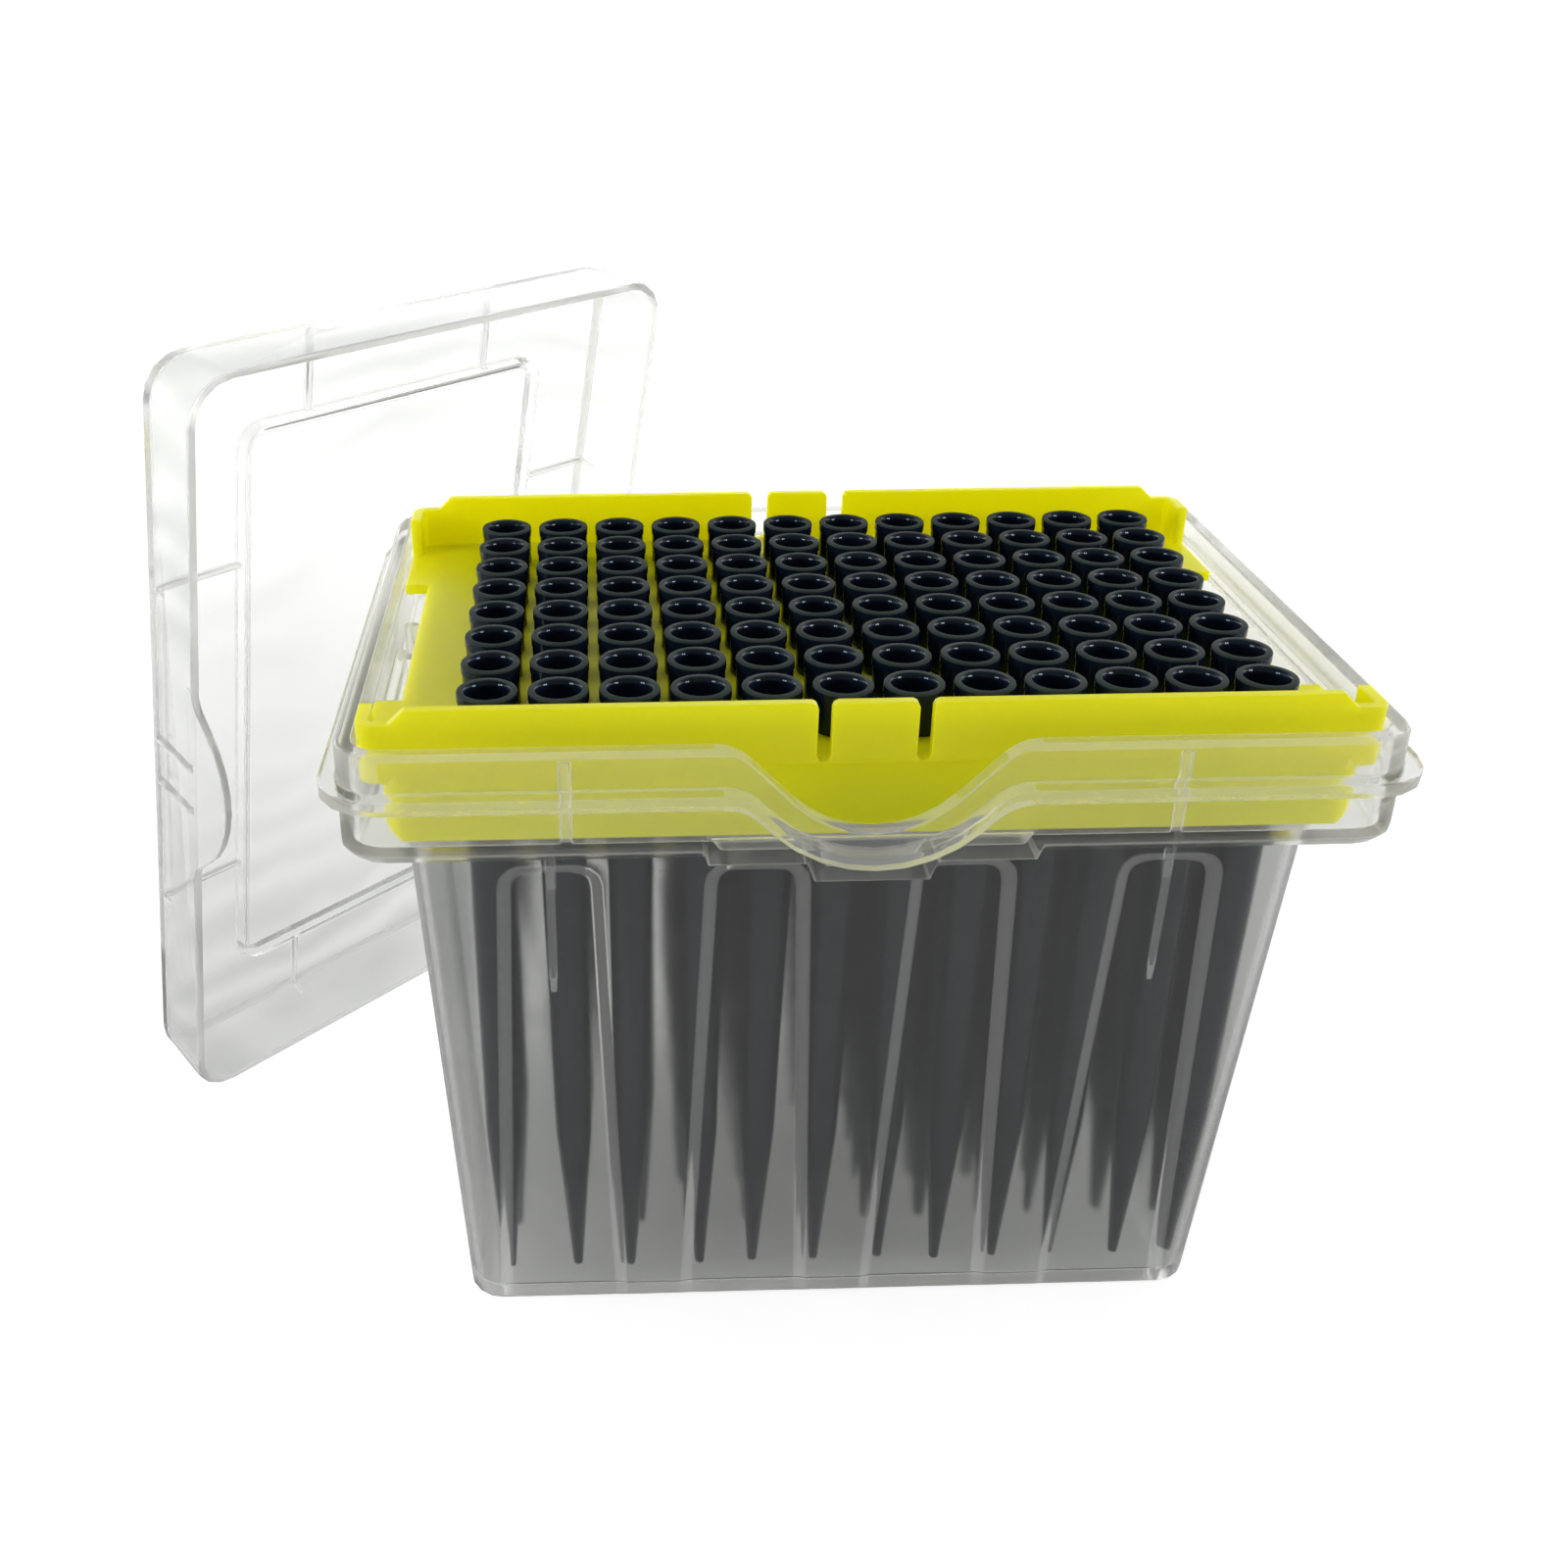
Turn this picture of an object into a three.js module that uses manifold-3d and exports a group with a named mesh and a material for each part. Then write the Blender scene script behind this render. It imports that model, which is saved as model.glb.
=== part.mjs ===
// Box of 96 pipette tips: a clear base, a snap-in tip tray, the tips, and the lid leaning on the box.
//
// Millimetres, +Z up. The origin is the middle of the base's foot, on the surface it stands on.
// X runs along the twelve columns, Y along the eight rows, and -Y is the latch side, the front.

import * as THREE from 'three';
import { mergeVertices } from 'three/addons/utils/BufferGeometryUtils.js';
import Module from 'manifold-3d';

const wasm = await Module();
wasm.setup();

// ---------------------------------------------------------------- driving dimensions

// The grid of tips.
const pitch = 9;
const columns = 12;
const rows = 8;
const gridShift = 1.95; // the grid's middle lies this far to the right of the box's

// The tips modelled here fill this many rows at the front and the back, and columns at the ends.
const outerRows = 2;
const outerColumns = 1;

// One tip, measured from its mouth down.
const tipLength = 95.1;
const tipSides = 8;
const mouthRadius = 3.9;
const socketRadius = 3.0;
const collarHeight = 5.9; // what shows above the deck
const collarTaper = 0.12;
const neckRadius = 3.3;
const shoulderDrop = 70; // where the slim cone begins
const shoulderRadius = 2.45;
const orificeRadius = 0.35;
const orificeWall = 0.25;
const barrelWall = 0.6;

// Clearances between the pieces.
const seatGap = 0.3;
const holeClearance = 0.25;
const trayClearanceX = 0.4; // to the rim's inside
const trayClearanceY = 0.9;
const lidClearance = 0.3;

// Base.
const wall = 1.5;
const floorThickness = 1.5;
const tipFloorGap = 3.9;
const endMargin = 16.5; // from the outer tips' axes, without the shift, to the rim's ends
const sideMargin = 14.5;
const rimCorner = 6;
const rimWall = 2.4;
const rimEdgeBevel = 0.5;
const rimAboveDeck = 3.85;
const shelfBelowDeck = 9.6;
const shelfThickness = 1.9;
const shelfOverhang = 7.2; // the collar stands this far out from the body
const collarRound = 1.5;
const bodyCorner = 6;
const draftX = 4.6; // how far each short wall of the body leans out from the foot to the shelf
const draftY = 3.8;
const footCorner = 5;
const footRound = 2.0;
const flangeBelowRim = 5.05;
const flangeThickness = 1.9;
const flangeReach = 2.3;

// The latch dip in the front of the rim and the flange.
const rimDip = 11.5;
const rimDipRadius = 14;
const flangeDip = 8.8;
const flangeDipRadius = 18;
const dipShoulderRadius = 6;
const dipFlank = Math.PI / 4;
const apronSteps = [
  { halfWidth: 20.4, drop: 0.5 },
  { halfWidth: 7.2, drop: 3.1 },
];
const apronBevel = 1.0;

// Arched panels sunk into the body's walls.
const panelTop = 78.6;
const panelTopWidth = 13.2;
const panelFootWidth = 18.6;
const panelWall = 1.0;
const panelDepth = 1.0; // on the long walls, where the inner face follows
const panelBevel = 1.2;
const panelCorner = 3;
const panelPitchX = 26.8;
const panelCountX = 4;
const panelPitchY = 26.8;
const panelCountY = 2;

// Gusset ribs under the shelf.
const gussetThickness = 1.0;
const gussetReach = 1.2;
const gussetHeight = 27;

// Small ribs and supports inside the collar.
const rimRibPlace = 37.8;
const rimRibThickness = 1.2;
const rimRibReach = 0.6;
const rimRibDrop = 2.2; // from the rim's top to the rib's
const shelfPadLength = 18.4;
const shelfPadReach = 1.4;
const shelfPadHeight = 4.0;
const shelfBossPlace = 15.7;
const shelfBossRadius = 1.2;
const shelfBossHeight = 5.4;
const bossGap = 0.5; // from the rim's inside

// Tip tray.
const deckThickness = 1.6;
const deckInset = 4.2; // the deck's ends stop this far inside the rim
const cornerPlate = 20.4; // length of each corner plate, along the short sides
const trayCorner = 2.4;
const trayWall = 1.7;
const trayLedge = 0.8; // the upper walls stand back from the skirt by this much
const trayLedgeDrop = 1.7;
const trayWallHeight = 7.9;
const trayWallStep = 1.9;
const trayWallInset = 6.15; // from the tray's ends to the walls' high parts
const traySkirtInset = 3.1;
const trayTopRound = 0.8; // beside the slots
const traySkirtBevel = 2.1;
const trayReturn = 7; // how far each wall's ends come round the corner
const frontTab = { width: 10.6, slot: 1.7 };
const backTab = { width: 9.8, slot: 2.6 };

// Lid.
const lidWall = 1.3;
const lidDepth = 13.5;
const lidDraft = 1.2; // each wall leans in by this much over the lid's depth
const lidCornerRound = 1.4;
const lidCornerFlat = 0.4; // where the panel edge's two facets meet, above the panel
const lidStepMarginX = 13.9; // from the panel's edges to the step
const lidStepMarginY = 15.9;
const lidStepHeight = 2.0;
const lidStepCorner = 4;
const lidStepDraft = 0.5;
const lidRibThickness = 0.8;
const lidRibPlaceX = 29.5;
const lidRibPlaceY = 18;
const lidRibRise = 6;
const gripSpacing = 8;
const gripWidth = 1.6;
const gripTopWidth = 0.8;
const gripHeight = 0.8;
const gripEndHeight = 0.2;
const gripMargin = 2.7;
const lidYaw = THREE.MathUtils.degToRad(44.5);
const lidLean = THREE.MathUtils.degToRad(11);
const lidSlide = 1.2; // where along the lid's width the box's corner touches it

const cornerSteps = 4; // facets in a quarter of a round corner
const dipBottomSteps = 4; // facets in half the round bottom of a dip
const dipShoulderSteps = 3;
const archSteps = 3;
const slotSteps = 2;
const bossSides = 8;
const leastRadius = 0.4; // of an inner corner
const sameVertex = 1e-4;
const through = 1; // how far a cutter runs past what it cuts

// ---------------------------------------------------------------- derived levels and sizes

const deckTop = floorThickness + tipFloorGap + tipLength - collarHeight;
const tipTop = deckTop + collarHeight;
const rimTop = deckTop + rimAboveDeck;
const shelfTop = deckTop - shelfBelowDeck;
const collarBottom = shelfTop - shelfThickness;
const flangeTop = rimTop - flangeBelowRim;
const flangeBottom = flangeTop - flangeThickness;

const rim = {
  x: ((columns - 1) * pitch) / 2 + endMargin,
  y: ((rows - 1) * pitch) / 2 + sideMargin,
  r: rimCorner,
};
const flange = grown(rim, flangeReach);
const mouth = grown(rim, -rimWall);
const trayEdge = { x: mouth.x - trayClearanceX, y: mouth.y - trayClearanceY, r: trayCorner };
const bodyTop = { x: rim.x - shelfOverhang, y: rim.y - shelfOverhang, r: bodyCorner };
const foot = { x: bodyTop.x - draftX, y: bodyTop.y - draftY, r: footCorner };

// ---------------------------------------------------------------- shared geometry

/** A rounded rectangle's half sizes and corner radius, made larger (or smaller) all round. */
function grown(outline, by) {
  return { x: outline.x + by, y: outline.y + by, r: Math.max(outline.r + by, leastRadius) };
}

/** The outline between two others, at a share t of the way. */
function between(a, b, t) {
  const mix = THREE.MathUtils.lerp;
  return { x: mix(a.x, b.x, t), y: mix(a.y, b.y, t), r: mix(a.r, b.r, t) };
}

/** Points of a rounded rectangle, anticlockwise, the same number whatever its size. */
function roundedRectangle({ x, y, r }) {
  const points = [];
  for (let corner = 0; corner < 4; corner++) {
    const cx = (corner === 0 || corner === 3 ? 1 : -1) * (x - r);
    const cy = (corner < 2 ? 1 : -1) * (y - r);
    for (let step = 0; step <= cornerSteps; step++) {
      const angle = ((corner + step / cornerSteps) * Math.PI) / 2;
      points.push(new THREE.Vector2(cx + r * Math.cos(angle), cy + r * Math.sin(angle)));
    }
  }
  return points;
}

/** Turns a closed three.js geometry into a solid that can be cut and joined. */
function solid(geometry) {
  const bare = geometry.index ? geometry.clone() : geometry;
  for (const name of Object.keys(bare.attributes)) {
    if (name !== 'position') bare.deleteAttribute(name);
  }
  const merged = mergeVertices(bare, sameVertex);
  const mesh = new wasm.Mesh({
    numProp: 3,
    vertProperties: new Float32Array(merged.attributes.position.array),
    triVerts: new Uint32Array(merged.index.array),
  });
  mesh.merge();
  return new wasm.Manifold(mesh);
}

/** Turns a solid back into a geometry for a mesh. */
function geometryOf(body) {
  const { vertProperties, triVerts } = body.getMesh();
  const geometry = new THREE.BufferGeometry();
  geometry.setAttribute('position', new THREE.BufferAttribute(vertProperties, 3));
  geometry.setIndex(new THREE.BufferAttribute(triVerts, 1));
  geometry.computeVertexNormals();
  return geometry;
}

/** A closed skin through rings of equally many 3-D points, capped at both ends. */
function loftRings(rings) {
  const count = rings[0].length;
  const positions = rings.flat().flatMap((p) => [p.x, p.y, p.z]);
  const index = [];
  for (let ring = 0; ring + 1 < rings.length; ring++) {
    for (let i = 0; i < count; i++) {
      const a = ring * count + i;
      const b = ring * count + ((i + 1) % count);
      index.push(a, b, b + count, a, b + count, a + count);
    }
  }
  const cap = THREE.ShapeUtils.triangulateShape(flattened(rings[0]), []);
  const last = (rings.length - 1) * count;
  for (const [a, b, c] of cap) {
    index.push(a, c, b);
    index.push(last + a, last + b, last + c);
  }
  const geometry = new THREE.BufferGeometry();
  geometry.setAttribute('position', new THREE.Float32BufferAttribute(positions, 3));
  geometry.setIndex(index);
  return solid(geometry);
}

/** A ring's points in the plane that faces its own axis, for making its cap. */
function flattened(ring) {
  const across = ring[1].clone().sub(ring[0]).normalize();
  const normal = new THREE.Vector3();
  ring.forEach((p, i) => normal.add(p.clone().cross(ring[(i + 1) % ring.length])));
  normal.normalize();
  const up = normal.clone().cross(across);
  return ring.map((p) => new THREE.Vector2(p.dot(across), p.dot(up)));
}

/** A body through rounded rectangles at rising heights: [[z, outline], ...]. */
function loftOutlines(sections) {
  const ring = ([z, outline]) =>
    roundedRectangle(outline).map((p) => new THREE.Vector3(p.x, p.y, z));
  return loftRings(sections.map(ring));
}

/** A flat shape in X and Y, given thickness from z upwards. */
function plate(points, z, thickness) {
  const shape = new THREE.Shape(points);
  const geometry = new THREE.ExtrudeGeometry(shape, { depth: thickness, bevelEnabled: false });
  return solid(geometry.translate(0, 0, z));
}

/** A flat shape in X and Z, given thickness along Y from yFrom to yTo. */
function slabInY(points, yFrom, yTo) {
  const shape = new THREE.Shape(points);
  const depth = yTo - yFrom;
  const geometry = new THREE.ExtrudeGeometry(shape, { depth, bevelEnabled: false });
  geometry.rotateX(Math.PI / 2); // the shape's second axis is now Z, and it runs towards -Y
  return solid(geometry.translate(0, yTo, 0));
}

/** Points along an arc, both ends included. */
function arc(cx, cz, radius, from, to, steps) {
  const points = [];
  for (let step = 0; step <= steps; step++) {
    const angle = THREE.MathUtils.lerp(from, to, step / steps);
    points.push(new THREE.Vector2(cx + radius * Math.cos(angle), cz + radius * Math.sin(angle)));
  }
  return points;
}

/**
 * A dip in a level line, from left to right: a shoulder, a straight flank, a round bottom and
 * the same again. The line is at height 0 and the bottom at -depth.
 */
function dipCurve(depth, bottomRadius) {
  const drop = 1 - Math.cos(dipFlank);
  const flankHeight = depth - (bottomRadius + dipShoulderRadius) * drop;
  const halfWidth =
    (bottomRadius + dipShoulderRadius) * Math.sin(dipFlank) + flankHeight / Math.tan(dipFlank);
  const down = -Math.PI / 2;
  const up = Math.PI / 2;
  const shoulderZ = -dipShoulderRadius;
  const half = [
    ...arc(0, bottomRadius - depth, bottomRadius, down, down + dipFlank, dipBottomSteps),
    ...arc(halfWidth, shoulderZ, dipShoulderRadius, up + dipFlank, up, dipShoulderSteps),
  ];
  const left = half.map((p) => new THREE.Vector2(-p.x, p.y)).reverse();
  return [...left.slice(0, -1), ...half];
}

/** The same line lifted or lowered to a height. */
function atHeight(points, z) {
  return points.map((p) => new THREE.Vector2(p.x, p.y + z));
}

function mirroredY(body) {
  return body.mirror([0, 1, 0]);
}

// ---------------------------------------------------------------- base

/** The base's outer form: tapered body, shelf, collar and rim in one loft. */
function baseOutside() {
  const footSlope = between(foot, bodyTop, footRound / collarBottom);
  return loftOutlines([
    [0, grown(foot, -footRound)],
    [footRound, footSlope],
    [collarBottom, bodyTop],
    [collarBottom, grown(rim, -collarRound)],
    [collarBottom + collarRound, rim],
    [rimTop - rimEdgeBevel, rim],
    [rimTop, grown(rim, -rimEdgeBevel)],
  ]);
}

/** The hollow that takes the tray and the tips. */
function baseInside() {
  const well = grown(foot, -wall);
  const wellTop = grown(bodyTop, -wall);
  const floorRound = footRound;
  return loftOutlines([
    [floorThickness, grown(well, -floorRound)],
    [floorThickness + floorRound, between(well, wellTop, (floorThickness + floorRound) / shelfTop)],
    [shelfTop, wellTop],
    [shelfTop, mouth],
    [rimTop + through, mouth],
  ]);
}

/** The lip that carries the lid, level all round except for its dip at the latch. */
function lidFlange() {
  const dip = dipCurve(flangeDip, flangeDipRadius);
  const halfWidth = dip.at(-1).x;
  const level = plate(roundedRectangle(flange), flangeBottom, flangeThickness);
  const gapInLevel = slabInY(
    boxOutline(-halfWidth, halfWidth, flangeBottom - through, flangeTop + through),
    -flange.y - through,
    -rim.y + wall / 2,
  );
  const dipped = slabInY(
    [...atHeight(dip, flangeBottom), ...atHeight(dip, flangeTop).reverse()],
    -flange.y,
    -rim.y + wall / 2,
  );
  return level.subtract(gapInLevel).add(dipped);
}

function boxOutline(left, right, low, high) {
  return [
    new THREE.Vector2(left, low),
    new THREE.Vector2(right, low),
    new THREE.Vector2(right, high),
    new THREE.Vector2(left, high),
  ];
}

/** The collar's front, which reaches lower under the latch dip, in two steps. */
function latchApron(inset) {
  const points = [new THREE.Vector2(0, collarBottom + collarRound + through)];
  for (const { halfWidth, drop } of apronSteps) {
    points.push(new THREE.Vector2(halfWidth - inset + apronBevel, points.at(-1).y));
    points.push(new THREE.Vector2(halfWidth - inset, collarBottom + inset - drop));
  }
  const right = points.slice(1);
  const left = right.map((p) => new THREE.Vector2(-p.x, p.y)).reverse();
  return [...left, ...right].reverse();
}

/** The opening of the rim's front that lets a finger reach the lid's tongue. */
function rimScoop() {
  const dip = dipCurve(rimDip, rimDipRadius);
  const halfWidth = dip.at(-1).x;
  const above = [
    new THREE.Vector2(halfWidth, rimTop + through),
    new THREE.Vector2(-halfWidth, rimTop + through),
  ];
  return slabInY([...atHeight(dip, rimTop), ...above], -rim.y - through, through + rimWall - rim.y);
}

/** One arched panel's outline on a wall: wider at the foot, with round top corners. */
function archOutline(inset) {
  const top = panelTop - inset;
  const halfTop = panelTopWidth / 2 - inset;
  const halfFoot = panelFootWidth / 2 - inset;
  const radius = panelCorner - inset / 2;
  const low = -through;
  return [
    new THREE.Vector2(-halfFoot, low),
    new THREE.Vector2(halfFoot, low),
    ...arc(halfTop - radius, top - radius, radius, 0, Math.PI / 2, archSteps),
    ...arc(radius - halfTop, top - radius, radius, Math.PI / 2, Math.PI, archSteps),
  ];
}

/**
 * A bevelled arch laid on a wall that leans outwards as it rises: from the wall's own face at
 * `level`, outwards by `outwards` and inwards by `depth`.
 */
function archBlock(along, footReach, topReach, level, depth, outwards) {
  const slope = (topReach - footReach) / collarBottom;
  const ring = (inset, inwards) =>
    archOutline(inset).map(
      (p) => new THREE.Vector3(along + p.x, -(footReach + slope * p.y - inwards), p.y),
    );
  return loftRings([ring(panelBevel, level + depth), ring(0, level), ring(0, level - outwards)]);
}

/** Places along a wall of evenly spaced panels. */
function panelPlaces(count, spacing) {
  return Array.from({ length: count }, (_, i) => (i - (count - 1) / 2) * spacing);
}

/** The arched panels sunk into the outside of all four walls. */
function archRecesses() {
  const blocks = [];
  for (const along of panelPlaces(panelCountX, panelPitchX)) {
    const block = archBlock(along, foot.y, bodyTop.y, 0, panelDepth, through);
    blocks.push(block, block.rotate([0, 0, 180]));
  }
  for (const along of panelPlaces(panelCountY, panelPitchY)) {
    const block = archBlock(along, foot.x, bodyTop.x, 0, wall - panelWall, through);
    blocks.push(block.rotate([0, 0, 90]), block.rotate([0, 0, -90]));
  }
  return wasm.Manifold.union(blocks);
}

/** What stands in on the inside of the long walls, so that they keep their thickness there. */
function archPads() {
  const depth = panelDepth + panelWall - wall;
  const blocks = [];
  for (const along of panelPlaces(panelCountX, panelPitchX)) {
    const block = archBlock(along, foot.y, bodyTop.y, wall, depth, wall / 2);
    blocks.push(block, block.rotate([0, 0, 180]));
  }
  return wasm.Manifold.union(blocks);
}

/** Thin tapering ribs inside the long walls, under the shelf. */
function gussets() {
  const wellFoot = foot.y - wall;
  const wellTop = bodyTop.y - wall;
  const wellAt = (z) => THREE.MathUtils.lerp(wellFoot, wellTop, z / shelfTop);
  const low = shelfTop - gussetHeight;
  const bite = wall / 2;
  const profile = [
    new THREE.Vector3(0, wellAt(low) + bite, low),
    new THREE.Vector3(0, wellTop + bite, shelfTop - bite),
    new THREE.Vector3(0, wellTop - gussetReach, shelfTop - bite),
  ];
  const ribs = [];
  const places = panelPlaces(panelCountX, panelPitchX);
  for (const x of [places[0], places.at(-1)]) {
    const ring = (dx) => profile.map((p) => new THREE.Vector3(x + dx, p.y, p.z));
    const rib = loftRings([ring(-gussetThickness / 2), ring(gussetThickness / 2)]);
    ribs.push(rib, mirroredY(rib));
  }
  return wasm.Manifold.union(ribs);
}

/** Upright ribs inside the long sides of the rim, which keep the tray in the middle. */
function rimRibs() {
  const ribs = [];
  for (const x of [-rimRibPlace, rimRibPlace]) {
    const half = rimRibThickness / 2;
    const face = boxOutline(x - half, x + half, shelfTop - seatGap, rimTop - rimRibDrop);
    const rib = slabInY(face, mouth.y - rimRibReach, mouth.y + rimWall / 2);
    ribs.push(rib, mirroredY(rib));
  }
  return wasm.Manifold.union(ribs);
}

/** At each end of the shelf: a low pad along the rim, with a round boss on both sides of it. */
function shelfSupports() {
  const bite = shelfThickness / 2;
  const half = shelfPadLength / 2;
  const from = mouth.x - shelfPadReach;
  const pad = [
    new THREE.Vector2(from, -half),
    new THREE.Vector2(mouth.x + bite, -half),
    new THREE.Vector2(mouth.x + bite, half),
    new THREE.Vector2(from, half),
  ];
  const supports = [plate(pad, shelfTop - bite, shelfPadHeight + bite)];
  const height = shelfBossHeight + bite;
  for (const y of [-shelfBossPlace, shelfBossPlace]) {
    const boss = new THREE.CylinderGeometry(shelfBossRadius, shelfBossRadius, height, bossSides);
    boss.rotateX(Math.PI / 2);
    boss.translate(mouth.x - shelfBossRadius - bossGap, y, shelfTop - bite + height / 2);
    supports.push(solid(boss));
  }
  const atEnd = wasm.Manifold.union(supports);
  return atEnd.add(atEnd.mirror([1, 0, 0]));
}

function base() {
  const apron = slabInY(latchApron(0), -rim.y, -bodyTop.y + wall / 2);
  const pocket = slabInY(latchApron(wall), -rim.y + wall, -bodyTop.y + wall);
  return baseOutside()
    .add(apron)
    .add(lidFlange())
    .subtract(baseInside().subtract(archPads()))
    .subtract(pocket)
    .subtract(rimScoop())
    .subtract(archRecesses())
    .add(gussets())
    .add(rimRibs())
    .add(shelfSupports());
}

// ---------------------------------------------------------------- tips

/** Half section of a tip: down the outside, through the orifice and up the bore. */
function tipProfile() {
  return [
    new THREE.Vector2(socketRadius, 0),
    new THREE.Vector2(mouthRadius, 0),
    new THREE.Vector2(mouthRadius - collarTaper, -collarHeight),
    new THREE.Vector2(neckRadius, -collarHeight),
    new THREE.Vector2(shoulderRadius, -shoulderDrop),
    new THREE.Vector2(orificeRadius + orificeWall, -tipLength),
    new THREE.Vector2(orificeRadius, -tipLength),
    new THREE.Vector2(shoulderRadius - barrelWall, -shoulderDrop),
  ];
}

/** A lathe about Z. */
function turned(profile) {
  const geometry = new THREE.LatheGeometry(profile, tipSides);
  return geometry.rotateX(Math.PI / 2);
}

function tipGeometry() {
  const profile = tipProfile();
  return turned([...profile, profile[0]].reverse());
}

/** Where a tip's mouth lies, for a column from the left and a row from the back. */
function tipPlace(column, row) {
  const x = gridShift + (column - (columns - 1) / 2) * pitch;
  const y = ((rows - 1) / 2 - row) * pitch;
  return new THREE.Vector3(x, y, tipTop);
}

function eachTip(visit) {
  for (let column = 0; column < columns; column++) {
    for (let row = 0; row < rows; row++) {
      visit(tipPlace(column, row), column, row);
    }
  }
}

/** Whether a place belongs to the band of tips modelled here, round the middle of the grid. */
function isOuterTip(column, row) {
  const endColumn = column < outerColumns || column >= columns - outerColumns;
  const endRow = row < outerRows || row >= rows - outerRows;
  return endColumn || endRow;
}

// ---------------------------------------------------------------- tip tray

/** The deck's outline: full length at the four corner plates, shorter between them. */
function deckOutline() {
  const { x, r } = trayEdge;
  const y = trayEdge.y - trayLedge;
  const shortX = mouth.x - deckInset;
  const notchY = y - cornerPlate;
  const quarter = [
    new THREE.Vector2(shortX, notchY),
    new THREE.Vector2(x, notchY),
    ...arc(x - r, y - r, r, 0, Math.PI / 2, cornerSteps),
  ];
  const flip = (sx, sy) => quarter.map((p) => new THREE.Vector2(sx * p.x, sy * p.y));
  return [
    ...flip(1, 1),
    ...flip(-1, 1).reverse(),
    ...flip(-1, -1),
    ...flip(1, -1).reverse(),
  ];
}

/** A long wall's face: low ends, bevelled shoulders, and a slot on each side of its snap tab. */
function trayWallOutline(tab) {
  const halfX = trayEdge.x + through;
  const high = deckTop + trayWallHeight;
  const low = high - trayWallStep;
  const halfTop = trayEdge.x - trayWallInset;
  const halfTab = tab.width / 2;
  const far = halfTab + tab.slot;
  const bottom = tab.slot / 2;
  const edge = trayTopRound;
  const foot = deckTop - deckThickness;
  const right = [
    ...arc(halfTab - edge, high - edge, edge, Math.PI / 2, 0, slotSteps),
    ...arc(halfTab + bottom, deckTop + bottom, bottom, Math.PI, 2 * Math.PI, 2 * slotSteps),
    ...arc(far + edge, high - edge, edge, Math.PI, Math.PI / 2, slotSteps),
    new THREE.Vector2(halfTop, high),
    new THREE.Vector2(halfTop + trayWallStep, low),
    new THREE.Vector2(halfX, low),
    new THREE.Vector2(halfX, foot),
  ];
  const left = right.map((p) => new THREE.Vector2(-p.x, p.y)).reverse();
  return [...left, ...right].reverse();
}

/** An upright ring of the tray's wall thickness, whose outside runs through the given sections. */
function trayRing(sections) {
  const [low, outer] = sections[0];
  const high = sections.at(-1)[0];
  const hollow = loftOutlines([
    [low - through, grown(outer, -trayWall)],
    [high + through, grown(outer, -trayWall)],
  ]);
  return loftOutlines(sections).subtract(hollow);
}

/** The skirt that stands on the shelf: sloped at its top, and bevelled at its ends' feet. */
function traySkirt() {
  const bottom = shelfTop + seatGap;
  const outer = grown(trayEdge, 0);
  outer.x -= traySkirtInset;
  const ring = trayRing([
    [bottom, outer],
    [deckTop - trayLedgeDrop, outer],
    [deckTop, grown(outer, -trayLedge)],
  ]);
  const bevelled = slabInY(
    [
      new THREE.Vector2(traySkirtBevel - outer.x, bottom),
      new THREE.Vector2(outer.x - traySkirtBevel, bottom),
      new THREE.Vector2(outer.x, bottom + traySkirtBevel),
      new THREE.Vector2(outer.x, deckTop),
      new THREE.Vector2(-outer.x, deckTop),
      new THREE.Vector2(-outer.x, bottom + traySkirtBevel),
    ],
    -outer.y - through,
    outer.y + through,
  );
  return ring.intersect(bevelled);
}

/** Both long walls, whose ends come a little way round the corners. */
function trayWalls() {
  const outer = { ...trayEdge, y: trayEdge.y - trayLedge };
  const ring = trayRing([
    [deckTop - deckThickness / 2, outer],
    [deckTop + trayWallHeight, outer],
  ]);
  const inner = outer.y - trayReturn;
  const front = slabInY(trayWallOutline(frontTab), -outer.y - through, -inner);
  const back = slabInY(trayWallOutline(backTab), inner, outer.y + through);
  return ring.intersect(front).add(ring.intersect(back));
}

/** An octagonal peg through the deck at one tip's place. */
function holeCutter(place) {
  const radius = neckRadius + holeClearance;
  const height = deckThickness + 2 * through;
  const geometry = new THREE.CylinderGeometry(radius, radius, height, tipSides);
  geometry.rotateX(Math.PI / 2);
  return solid(geometry.translate(place.x, place.y, deckTop - deckThickness / 2));
}

function tray() {
  const deck = plate(deckOutline(), deckTop - deckThickness, deckThickness);
  const holes = [];
  eachTip((place) => holes.push(holeCutter(place)));
  return deck.add(traySkirt()).add(trayWalls()).subtract(wasm.Manifold.union(holes));
}

// ---------------------------------------------------------------- lid

// The lid's own frame: its panel's outer face is at z = 0 and its rim points up, the tongue is on -Y.
const lidRim = grown(rim, lidClearance + lidWall);
const lidPanel = grown(lidRim, -lidDraft);
const stepEdge = { x: lidPanel.x - lidStepMarginX, y: lidPanel.y - lidStepMarginY };

/** The lid's tray-like form: drafted walls, round panel edge, open at the rim. */
function lidShell() {
  const at = (z) => between(lidPanel, lidRim, z / lidDepth);
  const outside = loftOutlines([
    [0, grown(lidPanel, -lidCornerRound)],
    [lidCornerFlat, grown(at(lidCornerFlat), -lidCornerFlat)],
    [lidCornerRound, at(lidCornerRound)],
    [lidDepth, lidRim],
  ]);
  const inside = loftOutlines([
    [lidWall, grown(lidPanel, -lidWall - lidCornerRound / 2)],
    [lidWall + lidCornerRound / 2, grown(at(lidWall), -lidWall)],
    [lidDepth + through, grown(at(lidDepth + through), -lidWall)],
  ]);
  return outside.subtract(inside);
}

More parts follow.
